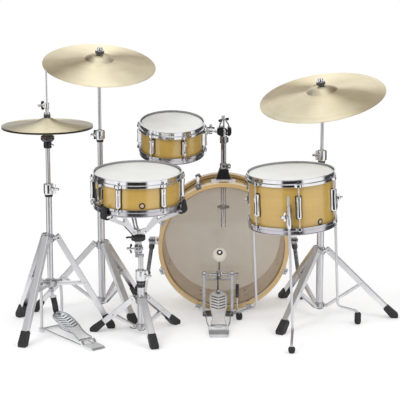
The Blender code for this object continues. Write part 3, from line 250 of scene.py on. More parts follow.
# A block between two corners, its upright edges rounded.
def block(low, high, cut=.002):
    outline = [(low[0], low[2]), (high[0], low[2]), (high[0], high[2]), (low[0], high[2])]
    return slab(outline, low[1], high[1], cut, 3)


# An outline's points counted from x and y.
def offset(outline, x=0, y=0):
    return [(x + across, y + up) for across, up in outline]


# Corners of a rectangle; top is narrower or wider where it is given.
def rectangle(half, low, high, top=None):
    top = half if top is None else top
    return [(-half, low), (half, low), (top, high), (-top, high)]


def circle(x, y, radius, sides=16, stretch=1):
    return [
        (x + radius * cos(2 * pi * i / sides), y + radius * stretch * sin(2 * pi * i / sides))
        for i in range(sides)
    ]


# A smooth curve through the points.
def spline(points, steps=6):
    points = [Vector(point) for point in points]
    ends = [points[0] * 2 - points[1], *points, points[-1] * 2 - points[-2]]
    curve = []
    for a, b, c, d in zip(ends, ends[1:], ends[2:], ends[3:]):
        for step in range(steps):
            t = step / steps
            curve.append(
                .5 * (2 * b + (c - a) * t + (2 * a - 5 * b + 4 * c - d) * t ** 2
                      + (3 * b - a - 3 * c + d) * t ** 3)
            )
    return [*curve, points[-1]]


# One piece: its shape or list of shapes, finish and body. It stands for the CAD nodes named in replaces.
def piece(name, shapes, look, body, place=None, edge=0, replaces=(), slot=None, inside=None, blend=None):
    mesh = bpy.data.meshes.new(name)
    points, faces = gathered(shapes if isinstance(shapes, list) else [shapes])
    mesh.from_pydata([tuple(point) for point in points], [], faces)
    tidy = bmesh.new()
    tidy.from_mesh(mesh)
    bmesh.ops.recalc_face_normals(tidy, faces=tidy.faces)
    tidy.to_mesh(mesh)
    tidy.free()
    obj = bpy.data.objects.new(name, mesh)
    bpy.context.scene.collection.objects.link(obj)
    mesh.materials.append(look)
    if inside:
        mesh.materials.append(inside[0])
        for face in mesh.polygons:
            if inside[1](face.center, face.normal):
                face.material_index = 1
    mesh.shade_smooth()
    if edge:
        bevel = obj.modifiers.new("edges", "BEVEL")
        bevel.width = edge
        bevel.segments = 2
        bevel.limit_method = "ANGLE"
        bevel.angle_limit = sharpAngle
        bevel.harden_normals = True
    else:
        mesh.set_sharp_from_angle(angle=sharpAngle)
    flats = obj.modifiers.new("flats", "WEIGHTED_NORMAL")
    flats.keep_sharp = True
    obj.matrix_world = place or Matrix()
    if blend:
        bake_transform(obj)
    else:
        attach(obj, body)
    if replaces:
        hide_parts(*([replaces] if isinstance(replaces, str) else replaces))


# Finishes: effects that several materials share are node groups

def wire(start, end):
    end.id_data.links.new(start, end)


def newGroup(name, inputs, outputs):
    group = bpy.data.node_groups.new(name, "ShaderNodeTree")
    for label, value in inputs:
        colour = isinstance(value, tuple)
        kind = "NodeSocketColor" if colour else "NodeSocketFloat"
        socket = group.interface.new_socket(label, in_out="INPUT", socket_type=kind)
        socket.default_value = (*value, 1) if colour else value
    for label, kind in outputs:
        group.interface.new_socket(label, in_out="OUTPUT", socket_type=kind)
    return group, group.nodes.new("NodeGroupInput").outputs, group.nodes.new("NodeGroupOutput").inputs


def mathNode(tree, operation, a, b=None, c=None):
    node = tree.nodes.new("ShaderNodeMath")
    node.operation = operation
    for socket, value in zip(node.inputs, (a, b, c)):
        if value is None:
            continue
        if isinstance(value, (int, float)):
            socket.default_value = value
        else:
            wire(value, socket)
    return node.outputs[0]


def times(tree, a, b):
    return mathNode(tree, "MULTIPLY", a, b)


def plus(tree, a, b):
    return mathNode(tree, "ADD", a, b)


def rangeNode(tree, value, fromLow, fromHigh, toLow=0, toHigh=1):
    node = tree.nodes.new("ShaderNodeMapRange")
    for socket, given in zip(node.inputs, (value, fromLow, fromHigh, toLow, toHigh)):
        if isinstance(given, (int, float)):
            socket.default_value = given
        else:
            wire(given, socket)
    return node.outputs[0]


def mixColour(tree, amount, first, second):
    node = tree.nodes.new("ShaderNodeMix")
    node.data_type = "RGBA"
    for socket, given in ((node.inputs[0], amount), (node.inputs[6], first), (node.inputs[7], second)):
        if isinstance(given, (int, float)):
            socket.default_value = given
        elif isinstance(given, tuple):
            socket.default_value = (*given, 1)
        else:
            wire(given, socket)
    return node.outputs[2]


# Noise over a piece's own coordinates, stretched by a scale for each axis.
def noise(tree, scale, detail=4, roughness=.55, stretch=(1, 1, 1)):
    coordinates = tree.nodes.new("ShaderNodeTexCoord").outputs["Object"]
    mapping = tree.nodes.new("ShaderNodeMapping")
    mapping.inputs["Scale"].default_value = stretch
    wire(coordinates, mapping.inputs["Vector"])
    node = tree.nodes.new("ShaderNodeTexNoise")
    wire(mapping.outputs[0], node.inputs["Vector"])
    if isinstance(scale, (int, float)):
        node.inputs["Scale"].default_value = scale
    else:
        wire(scale, node.inputs["Scale"])
    node.inputs["Detail"].default_value = detail
    node.inputs["Roughness"].default_value = roughness
    return node.outputs["Fac"]


# Maple: fine lines round the shell, broad warm drifts, and a faint curl across them.
def grainGroup():
    group, given, gives = newGroup(
        "mapleGrain",
        [("Light", (.7, .4, .12)), ("Dark", (.5, .27, .06)), ("Lines", 9), ("Curl", .35), ("Depth", 1)],
        [("Colour", "NodeSocketColor"), ("Height", "NodeSocketFloat")],
    )
    lines = noise(group, given["Lines"], 8, .62, stretch=(.5, .5, 14))
    drift = noise(group, 4, 2, stretch=(1, 1, 2.6))
    curl = noise(group, 12, 2, stretch=(5, 5, .8))
    spread = rangeNode(group, lines, .36, .66)
    warm = rangeNode(group, drift, .3, .7, 0, .4)
    wave = times(group, rangeNode(group, curl, .3, .7, 0, .6), given["Curl"])
    amount = times(group, spread, .26)
    amount = plus(group, amount, warm)
    amount = plus(group, amount, wave)
    wire(mixColour(group, amount, given["Light"], given["Dark"]), gives["Colour"])
    wire(times(group, lines, given["Depth"]), gives["Height"])
    return group


# Roughness that wanders between two values, as wiped and handled metal has.
def smudgeGroup():
    group, given, gives = newGroup(
        "smudges",
        [("Scale", 14), ("Low", .08), ("High", .2)],
        [("Roughness", "NodeSocketFloat"), ("Mask", "NodeSocketFloat")],
    )
    broad = noise(group, given["Scale"], 5, .6)
    mask = rangeNode(group, broad, .38, .68)
    wire(rangeNode(group, mask, 0, 1, given["Low"], given["High"]), gives["Roughness"])
    wire(mask, gives["Mask"])
    return group


# Edges rubbed by handling, from the surface's own curvature broken up by noise.
def wearGroup():
    group, given, gives = newGroup(
        "edgeWear", [("Start", .53), ("Full", .62), ("Scale", 90)], [("Mask", "NodeSocketFloat")]
    )
    curvature = group.nodes.new("ShaderNodeNewGeometry").outputs["Pointiness"]
    edge = rangeNode(group, curvature, given["Start"], given["Full"])
    broken = rangeNode(group, noise(group, given["Scale"], 3), .4, .6, .2, 1)
    wire(times(group, edge, broken), gives["Mask"])
    return group


# Turning marks: rings about the piece's own Z, with a slow change from ring to ring; also a side shade
# output, painted reflection shade that is full where the rim runs along the piece's own X and gone along its
# Y.
def ringsAndSideShadeGroup():
    group, given, gives = newGroup(
        "latheRingsAndSideShade",
        [("Rings", 420), ("Depth", 1)],
        [("Height", "NodeSocketFloat"), ("Band", "NodeSocketFloat"), ("SideShade", "NodeSocketFloat")],
    )
    coordinates = group.nodes.new("ShaderNodeTexCoord").outputs["Object"]
    parts = group.nodes.new("ShaderNodeSeparateXYZ")
    wire(coordinates, parts.inputs[0])
    squares = plus(group, times(group, parts.outputs[0], parts.outputs[0]),
                       times(group, parts.outputs[1], parts.outputs[1]))
    radius = mathNode(group, "SQRT", squares)
    coarse = group.nodes.new("ShaderNodeTexNoise")
    coarse.noise_dimensions = "1D"
    wire(times(group, radius, given["Rings"]), coarse.inputs["W"])
    coarse.inputs["Scale"].default_value = 1
    coarse.inputs["Detail"].default_value = 5
    band = group.nodes.new("ShaderNodeTexNoise")
    band.noise_dimensions = "1D"
    wire(radius, band.inputs["W"])
    band.inputs["Scale"].default_value = 60
    band.inputs["Detail"].default_value = 2
    wire(times(group, coarse.outputs["Fac"], given["Depth"]), gives["Height"])
    wire(rangeNode(group, band.outputs["Fac"], .3, .7), gives["Band"])
    # Painted reflection shade: the dark reflections at a cymbal's left and right, by angle round its own Z,
    # its edge loosened by noise.
    across = mathNode(group, "DIVIDE", mathNode(group, "ABSOLUTE", parts.outputs[1]), radius)
    sideShadeJitter = rangeNode(group, noise(group, 7, 3), .3, .7, -.08, .08)
    wire(rangeNode(group, plus(group, across, sideShadeJitter), .25, .9, 1, 0), gives["SideShade"])
    return group


# A fine even grain: sprayed coating, cast metal, rubber, felt.
def speckGroup():
    group, given, gives = newGroup(
        "speckle",
        [("Scale", 900), ("Depth", 1)],
        [("Height", "NodeSocketFloat"), ("Mottle", "NodeSocketFloat")],
    )
    fine = noise(group, given["Scale"], 3, .7)
    broad = noise(group, 9, 4)
    wire(times(group, fine, given["Depth"]), gives["Height"])
    wire(rangeNode(group, broad, .35, .65), gives["Mottle"])
    return group


effects = {
    "grain": grainGroup(), "smudges": smudgeGroup(), "wear": wearGroup(), "rings": ringsAndSideShadeGroup(),
    "speckle": speckGroup(),
}


def newMaterial(name, **constants):
    material = bpy.data.materials.new(name)
    material.use_nodes = True
    tree = material.node_tree
    shader = tree.nodes["Principled BSDF"]
    for label, value in constants.items():
        shader.inputs[label.replace("_", " ")].default_value = value
    return material, tree, shader


def effect(tree, name, **values):
    node = tree.nodes.new("ShaderNodeGroup")
    node.node_tree = effects[name]
    for label, value in values.items():
        node.inputs[label].default_value = (*value, 1) if isinstance(value, tuple) else value
    return node.outputs


def bump(tree, shader, height, strength, distance, before=None):
    node = tree.nodes.new("ShaderNodeBump")
    node.inputs["Strength"].default_value = strength
    node.inputs["Distance"].default_value = distance
    wire(height, node.inputs["Height"])
    if before:
        wire(before, node.inputs["Normal"])
    wire(node.outputs[0], shader.inputs["Normal"])
    return node.outputs[0]


metals = {
    # colour, worn colour, roughness low and high, smudge scale, grain depth
    "chrome": ((.76, .76, .78), (.84, .84, .85), .05, .12, 22, .004),
    "darkChrome": ((.42, .42, .44), (.7, .7, .72), .1, .22, 26, .006),
    "lowChrome": ((.52, .51, .54), (.74, .74, .76), .12, .22, 26, .006),
    "satinChrome": ((.78, .78, .8), (.86, .86, .87), .18, .24, 12, .004),
    "tubeChrome": ((.7, .7, .73), (.82, .82, .83), .33, .37, 3, .001),
    "legSteel": ((.9, .9, .92), (.95, .95, .95), .4, .48, 6, .01),
    "pressedSteel": ((.8, .8, .82), (.88, .88, .9), .26, .4, 12, .03),
    "castMetal": ((.5, .5, .52), (.72, .72, .74), .24, .42, 24, .12),
    "darkCast": ((.1, .1, .11), (.34, .34, .36), .22, .38, 24, .08),
    "springSteel": ((.06, .06, .065), (.25, .25, .26), .25, .4, 30, .03),
    "pedalAluminium": ((.86, .87, .88), (.93, .93, .94), .3, .46, 18, .1),
    "brownSteel": ((.2, .15, .11), (.4, .34, .28), .3, .44, 20, .05),
    "fleshAluminium": ((.56, .57, .59), (.7, .7, .72), .28, .42, 20, .05),
}

# Thin round tubes curve as much as an edge does, so their wear starts later.
wearRanges = {"tubeChrome": {"Start": .72, "Full": .85}, "lowChrome": {"Start": .62, "Full": .75}}


def metal(name):
    colour, worn, low, high, scale, depth = metals[name]
    material, tree, shader = newMaterial(name, Metallic=1, Base_Color=(*colour, 1))
    smudges = effect(tree, "smudges", Scale=scale, Low=low, High=high)
    wire(smudges["Roughness"], shader.inputs["Roughness"])
    wear = effect(tree, "wear", **wearRanges.get(name, {}))
    dulled = tuple(channel * .9 for channel in colour)
    base = mixColour(tree, smudges["Mask"], colour, dulled)
    wire(mixColour(tree, wear["Mask"], base, worn), shader.inputs["Base Color"])
    bump(tree, shader, effect(tree, "speckle", Scale=1300)["Height"], depth, .0004)
    return material


def lacqueredMaple(name, light, dark, lines, curl):
    material, tree, shader = newMaterial(name, Roughness=.34, Coat_Weight=.75, Coat_Roughness=.05,
        Coat_IOR=1.7)
    grain = effect(tree, "grain", Light=light, Dark=dark, Lines=lines, Curl=curl)
    wear = effect(tree, "wear", Start=.54, Full=.66)
    pale = tuple(min(1, channel * 1.25) for channel in light)
    wire(mixColour(tree, times(tree, wear["Mask"], .5), grain["Colour"], pale),
         shader.inputs["Base Color"])
    smudges = effect(tree, "smudges", Scale=8, Low=.28, High=.42)
    wire(smudges["Roughness"], shader.inputs["Roughness"])
    bump(tree, shader, grain["Height"], .06, .0006)
    return material


def rawMaple(name, light, dark):
    material, tree, shader = newMaterial(name, Roughness=.55)
    grain = effect(tree, "grain", Light=light, Dark=dark, Lines=12, Curl=.2)
    wire(grain["Colour"], shader.inputs["Base Color"])
    wire(effect(tree, "smudges", Scale=10, Low=.45, High=.65)["Roughness"], shader.inputs["Roughness"])
    bump(tree, shader, grain["Height"], .15, .0008)
    return material


def dullBlack(name, colour, worn, low, high, grainScale, depth):
    material, tree, shader = newMaterial(name)
    wear = effect(tree, "wear", Start=.52, Full=.64, Scale=60)
    speckle = effect(tree, "speckle", Scale=grainScale)
    patchy = mixColour(tree, speckle["Mottle"], colour, tuple(channel * .72 for channel in colour))
    wire(mixColour(tree, wear["Mask"], patchy, worn), shader.inputs["Base Color"])
    wire(effect(tree, "smudges", Scale=20, Low=low, High=high)["Roughness"], shader.inputs["Roughness"])
    bump(tree, shader, speckle["Height"], depth, .0005)
    return material


# Coated film; its glow colour is emitted: painted light that stands in for the light coming through the film
# from outside.
def coatedFilm(name, light, shade, paintedGlow=(0, 0, 0)):
    material, tree, shader = newMaterial(
        name, Roughness=.5, Specular_IOR_Level=.35, Emission_Color=(*paintedGlow, 1), Emission_Strength=1
    )
    speckle = effect(tree, "speckle", Scale=1500)
    colour = mixColour(tree, speckle["Mottle"], light, shade)
    wire(colour, shader.inputs["Base Color"])
    wire(effect(tree, "smudges", Scale=7, Low=.42, High=.58)["Roughness"], shader.inputs["Roughness"])
    bump(tree, shader, speckle["Height"], .12, .0003)
    return material


# Thin clear film: mostly see-through, hazier where it is handled, with a bright gloss over it.
def clearFilm(name, haze, tint):
    material, tree, shader = newMaterial(
        name, Roughness=.06, Base_Color=(*tint, 1), Specular_IOR_Level=1, Coat_Weight=1, Coat_Roughness=.03
    )
    smudges = effect(tree, "smudges", Scale=5, Low=haze, High=haze + .05)
    wire(smudges["Roughness"], shader.inputs["Alpha"])
    bump(tree, shader, effect(tree, "speckle", Scale=30)["Height"], .02, .001)
    return material


# A shade below 1 gives a darker copy of the same bronze, as painted shade.
def cymbalBronze(name, rings, low, high, shade=1):
    material, tree, shader = newMaterial(name, Metallic=1, Anisotropic=.92, Anisotropic_Rotation=.25)
    marks = effect(tree, "rings", Rings=rings)
    smudges = effect(tree, "smudges", Scale=6, Low=low, High=high)
    light, deep, dull = (1, .93, .71), (.97, .87, .62), (.86, .75, .52)
    light, deep, dull = (tuple(channel * shade for channel in colour) for colour in (light, deep, dull))
    banded = mixColour(tree, marks["Band"], light, deep)
    # Painted reflection shade: the side mask turns the colour to a dark bronze at each cymbal's left and
    # right, darker still on the shaded copies.
    banded = mixColour(tree, marks["SideShade"], banded,
        tuple(channel * shade * shade for channel in (.38, .31, .19)))
    wire(mixColour(tree, times(tree, smudges["Mask"], .35), banded, dull),
         shader.inputs["Base Color"])
    wire(smudges["Roughness"], shader.inputs["Roughness"])
    bump(tree, shader, marks["Height"], .1, .0004)
    tangent = tree.nodes.new("ShaderNodeTangent")
    tangent.direction_type = "RADIAL"
    tangent.axis = "Z"
    wire(tangent.outputs[0], shader.inputs["Tangent"])
    return material


def feltMaterial(name, colour, shade):
    material, tree, shader = newMaterial(name, Roughness=.95, Sheen_Weight=.4, Sheen_Roughness=.6)
    speckle = effect(tree, "speckle", Scale=380)
    wire(mixColour(tree, speckle["Mottle"], colour, shade), shader.inputs["Base Color"])
    bump(tree, shader, speckle["Height"], .6, .0016)
    return material


chrome = metal("chrome")
darkChrome = metal("darkChrome")
satinChrome = metal("satinChrome")
tubeChrome = metal("tubeChrome")
legSteel = metal("legSteel")
lowChrome = metal("lowChrome")
pressedSteel = metal("pressedSteel")
castMetal = metal("castMetal")
darkCast = metal("darkCast")
springSteel = metal("springSteel")
pedalAluminium = metal("pedalAluminium")
brownSteel = metal("brownSteel")
fleshAluminium = metal("fleshAluminium")
shellMaple = lacqueredMaple("shellMaple", (.6, .395, .095), (.49, .3, .06), 9, .35)
hoopMaple = lacqueredMaple("hoopMaple", (.8, .56, .26), (.66, .43, .17), 12, .2)
insideMaple = rawMaple("insideMaple", (.66, .49, .3), (.52, .36, .2))
rubber = dullBlack("rubber", (.022, .022, .024), (.05, .05, .052), .55, .75, 700, .25)
greyRubber = dullBlack("greyRubber", (.06, .062, .065), (.1, .1, .1), .5, .7, 700, .25)
blackNylon = dullBlack("blackNylon", (.018, .018, .02), (.05, .05, .055), .3, .46, 1100, .12)
whiteFilm = coatedFilm("whiteFilm", (.8, .8, .775), (.765, .77, .75))
# The bass drum's front head glows a little: painted light for what shines through it.
frontFilm = coatedFilm("frontFilm", (.7, .69, .66), (.66, .65, .62), (.165, .145, .118))
batterFilm = clearFilm("batterFilm", .13, (.74, .69, .62))
lowerFilm = clearFilm("lowerFilm", .16, (.75, .74, .72))
bronze = cymbalBronze("bronze", 900, .38, .46)
# Painted shade: the hi-hat's top cymbal is a little darker for the dim light at its grazing view, and its
# lower cymbal is much darker, as if in the top one's shadow.
dimmedHatBronze = cymbalBronze("dimmedHatBronze", 900, .38, .46, .86)
shadowedLowBronze = cymbalBronze("shadowedLowBronze", 900, .34, .42, .35)
creamFelt = feltMaterial("creamFelt", (.93, .89, .76), (.84, .79, .66))
brownFelt = feltMaterial("brownFelt", (.095, .065, .045), (.06, .042, .03))
blackFelt = feltMaterial("blackFelt", (.03, .03, .032), (.02, .02, .02))
print("finishes ready")


# Camera, floor and light

camera = {"lens": 135, "sensor": 36, "pitch": 78, "at": (-.0227, -5.8803, 1.758)}
cameraObject = bpy.data.objects.new("camera", bpy.data.cameras.new("camera"))
cameraObject.data.lens = camera["lens"]
cameraObject.data.sensor_width = camera["sensor"]
cameraObject.data.clip_end = 50
cameraObject.location = camera["at"]
cameraObject.rotation_euler = (radians(camera["pitch"]), 0, 0)
bpy.context.scene.collection.objects.link(cameraObject)
bpy.context.scene.camera = cameraObject
bpy.context.scene.view_settings.view_transform = "Standard"

floor = {"radius": 1.5, "colour": (.74, .74, .745), "lift": .32}


def buildFloor():
    mesh = bpy.data.meshes.new("floor")
    points, faces = lathe([(0, 0), (floor["radius"], 0)], 96)
    mesh.from_pydata([tuple(point) for point in points], [], faces[:96])
    obj = bpy.data.objects.new("floor", mesh)
    bpy.context.scene.collection.objects.link(obj)
    material, tree, shader = newMaterial("floorPaint", Roughness=.9, Specular_IOR_Level=.1)
    speckle = effect(tree, "speckle", Scale=300)
    wire(mixColour(tree, speckle["Mottle"], floor["colour"], tuple(c * .995 for c in floor["colour"])),
         shader.inputs["Base Color"])
    rays = tree.nodes.new("ShaderNodeLightPath")
    seen = plus(tree, rays.outputs["Is Camera Ray"], rays.outputs["Is Glossy Ray"])
    seen = plus(tree, seen, rays.outputs["Is Transmission Ray"])
    lift = times(tree, mathNode(tree, "MINIMUM", seen, 1), floor["lift"])
    shader.inputs["Emission Color"].default_value = (1, 1, 1, 1)
    shader.inputs["Emission Strength"].default_value = 1
    grey = tree.nodes.new("ShaderNodeCombineColor")
    for channel in range(3):
        wire(lift, grey.inputs[channel])
    wire(grey.outputs[0], shader.inputs["Emission Color"])
    mesh.materials.append(material)


studio = {
    "fill": .8,
    # brightness of the room that shiny parts mirror, by angle from the drummer's side over 180 degrees
    "room": [(0, .03), (.13, .04), (.17, 1.2), (.48, 1.15), (.54, .06), (.82, .1), (.92, .92), (1, 1)],
    "ceiling": 1.22,
    "sides": .2,  # the ceiling towards either side
    "lamps": [
        # place, size, watts
        ((-2.2, -2.6, 3.2), 1.8, 60),
        ((2.6, -1.6, 2.8), 1.8, 30),
    ],
}


def buildStudio():
    world = bpy.data.worlds.new("studio")
    bpy.context.scene.world = world
    world.use_nodes = True
    tree = world.node_tree
    background = tree.nodes["Background"]
    way = tree.nodes.new("ShaderNodeTexCoord").outputs["Generated"]
    parts = tree.nodes.new("ShaderNodeSeparateXYZ")
    wire(way, parts.inputs[0])
    front = times(tree, parts.outputs[1], -1)
    azimuth = mathNode(tree, "ARCTAN2", parts.outputs[0], front)
    share = mathNode(tree, "DIVIDE", mathNode(tree, "ABSOLUTE", azimuth), pi)
    ramp = tree.nodes.new("ShaderNodeValToRGB")
    stops = studio["room"]
    for place, _ in stops[2:]:
        ramp.color_ramp.elements.new(place)
    for stop, (place, level) in zip(ramp.color_ramp.elements, stops):
        stop.position = place
        stop.color = (level, level, level, 1)
    wire(share, ramp.inputs[0])
    above = rangeNode(tree, parts.outputs[2], .3, .55)
    aside = rangeNode(tree, mathNode(tree, "ABSOLUTE", parts.outputs[0]), .22, .55)
    ceiling = mixColour(tree, aside, (studio["ceiling"],) * 3, (studio["sides"],) * 3)
    room = mixColour(tree, above, ramp.outputs[0], ceiling)
    rays = tree.nodes.new("ShaderNodeLightPath")
    plain = plus(tree, rays.outputs["Is Camera Ray"], rays.outputs["Is Transmission Ray"])
    shown = mixColour(tree, mathNode(tree, "MINIMUM", plain, 1), (studio["fill"],) * 3, (1, 1, 1))
    wire(mixColour(tree, rays.outputs["Is Glossy Ray"], shown, room), background.inputs["Color"])
    for number, (place, size, watts) in enumerate(studio["lamps"], 1):
        lamp = bpy.data.lights.new(f"softbox{number}", "AREA")
        lamp.shape = "DISK"
        lamp.size = size
        lamp.energy = watts
        holder = bpy.data.objects.new(f"softbox{number}", lamp)
        holder.location = place
        holder.rotation_euler = (Vector((0, 0, .5)) - Vector(place)).to_track_quat("-Z", "Y").to_euler()
        holder.visible_glossy = False
        bpy.context.scene.collection.objects.link(holder)


buildFloor()
buildStudio()
print("studio ready")


# Toms and snare

drums = {
    "rackTom": {
        "node": "rack_tom", "body": "rack_tom", "radius": 5 * inch, "depth": 5 * inch, "reach": .0115,
        "lug": .06, "lugsAt": 23, "lean": 11.5, "roll": .5,
    },
    "floorTom": {
        "node": "floor_tom", "body": "kit", "radius": 6.5 * inch, "depth": 8 * inch, "reach": .0105,
        "lug": .088, "lugsAt": 6, "lean": 1.5, "roll": -2.7, "vent": (37, -.17),
    },
    "snare": {
        "node": "snare", "body": "snare_basket", "radius": 6.5 * inch, "depth": 5 * inch, "reach": .009,
        "lug": .074, "lugsAt": 37, "lean": 3.3, "roll": 0, "vent": (8, -.09),
    },
}
drumForm = {
    "wall": .006, "film": .0004, "headDepth": .012, "hoopInner": .0031, "hoopSheet": .0023,
    "hoopTop": .007, "hoopFoot": -.0222, "bead": .0078, "earOut": .0186, "earHalf": .0125,
    "skirt": .0104,
    "rodOut": .0125, "rod": .0026, "lugOut": .019, "lugWidth": .022, "lugs": 6,
}


def drumPlace(drum):
    return tilted(middle(f"{drum['node']}_batter_head"), drum["lean"], drum["roll"]) @ shift(
        0, 0, drumForm["headDepth"] / 2
    )


# The other end of a drum, its +Z outwards; azimuths there run the other way.
def footPlace(drum):
    return drumPlace(drum) @ shift(0, 0, -drum["depth"]) @ turn(180, "X")


def lugAzimuths(drum, foot=False):
    azimuths = [drum["lugsAt"] + 360 / drumForm["lugs"] * i for i in range(drumForm["lugs"])]
    return [180 - azimuth for azimuth in azimuths] if foot else azimuths


# A plate on a drum's side: an outline of (across, height) from one distance out to another.
def patch(outline, near, far, cut=0, steps=4):
    return moved(slab(outline, near, far, cut, steps), turn(-90))


def along(shape, azimuth, out=0, height=0):
    return moved(shape, facing(azimuth) @ shift(out, 0, height))


def alongAll(shapes, azimuth, out=0, height=0):
    return [along(shape, azimuth, out, height) for shape in shapes]


# A turned shape whose axis points outwards.
def outwards(outline, sides=32, cut=0, steps=2):
    return moved(turned(outline, sides, cut, steps), turn(90, "Y"))


def shellShape(radius, wall, top, foot, sides=144):
    inner = radius - wall
    outline = [
        (inner, foot + .0035), (radius - .0028, foot), (radius, foot + .0012),
        (radius, top - .0012), (radius - .0028, top), (inner, top - .0035),
    ]
    return lathe(outline, sides, .0008)


def headShape(radius, film, sides=144):
    upper = [
        (0, 0), (radius - .012, 0), (radius - .004, -.0001), (radius, -.0007), (radius + .0019, -.0022),
        (radius + .0025, -.0045), (radius + .0026, -.0078),
    ]
    lower = [
        (radius + .0026 - film, -.0078), (radius + .0021, -.0046), (radius + .0015, -.0026),
        (radius - .0004, -.0011), (radius - .004, -.0001 - film), (radius - .012, -film), (0, -film),
    ]
    return lathe(upper + lower, sides)


def fleshShape(radius, depth, sides=144):
    outline = offset([(.0006, -depth), (.0028, -depth), (.0028, -.008), (.0006, -.008)], radius)
    return lathe(outline, sides, .0006)


# A pressed hoop with a rolled top and a lower flange that widens into an ear at each rod.
def hoopShape(drum, azimuths):
    form, radius = drumForm, drum["radius"]
    inner = radius + form["hoopInner"]
    outer = inner + form["hoopSheet"]
    reach = radius + drum["reach"]
    foot, top = form["hoopFoot"], form["hoopTop"]
    outline = [(inner, foot), (reach, foot), (reach, foot + form["skirt"]),
        (outer + .0002, foot + form["skirt"] + .0022), (outer, top - .003),
        (radius + form["bead"], top - .0022), (radius + form["bead"], top), (inner, top)]

    def warp(angle, distance, height):
        if height > foot + form["skirt"] + .001 or distance < outer + .0012:
            return distance, height
        nearest = min(abs((degrees(angle) - azimuth + 90 + 180) % 360 - 180) for azimuth in azimuths)
        arc = radians(nearest) * reach
        share = max(0, 1 - (arc / form["earHalf"]) ** 4)
        return distance + (form["earOut"] - drum["reach"]) * share ** .6, height

    return lathe(outline, 360, .0009, 3, warp=warp)


# Square-headed tension rod on its washer, from the hoop's ear down to the lug.
def rodShapes(out, seat, lugTop, radius=.0026):
    return [moved(bar((0, 0, seat), (0, 0, seat + .0013), .0062, 20, .0003), shift(out, 0, 0)),
        moved(bar((0, 0, seat + .0013), (0, 0, seat + .0032), .005, 20, .0005), shift(out, 0, 0)),
        moved(turned([(0, seat + .003), (.0043, seat + .0032), (.0041, seat + .0098), (0, seat + .0104)], 4,
        .0006), shift(out, 0, 0) @ turn(45)), moved(bar((0, 0, lugTop), (0, 0, seat + .0004), radius, 12),
        shift(out, 0, 0))]


# A cast lug: round ends that take the rods, drawn in at the waist. Its length is along Z.
def lugShape(length, width, out, foot=.0008):
    stations = [
        (.5, .72, .56), (.492, .88, .78), (.47, .97, .94), (.43, 1, 1), (.33, .99, 1),
        (.24, .96, .95), (.14, .93, .92), (0, .92, .92),
    ]
    full = stations + [(-share, wide, deep) for share, wide, deep in reversed(stations[:-1])]
    rings = []
    for share, wide, deep in reversed(full):
        ring = []
        for i in range(17):
            angle = pi * i / 16
            across = copysign(abs(cos(angle)) ** .75, cos(angle)) * width / 2 * wide
            ring.append((-foot + (out * deep + foot) * sin(angle) ** .8, across, share * length))
        rings.append(ring)
    return loft(rings)


def lugPlan(length, width, grow):
    half = []
    for share, wide in ((.5, .78), (.46, 1), (.33, 1), (.14, .95), (0, .94)):
        half.append((width / 2 * wide + grow, share * length + (grow if share > .4 else 0)))
    right = half + [(x, -z) for x, z in reversed(half[:-1])]
    return softened(right + [(-x, z) for x, z in reversed(right)], .004, 3)


ventForm = {"hole": .0068, "rim": .0125, "proud": .0026}


def ventShape():
    hole, rim, proud = ventForm["hole"], ventForm["rim"], ventForm["proud"]
    outline = [(hole, -.0015), (rim, -.0015), (rim, .0004), (rim - .0022, proud), (hole + .002, proud),
        (hole, .0008)]
    return moved(lathe(outline, 40, .0008, 3), turn(90, "Y"))


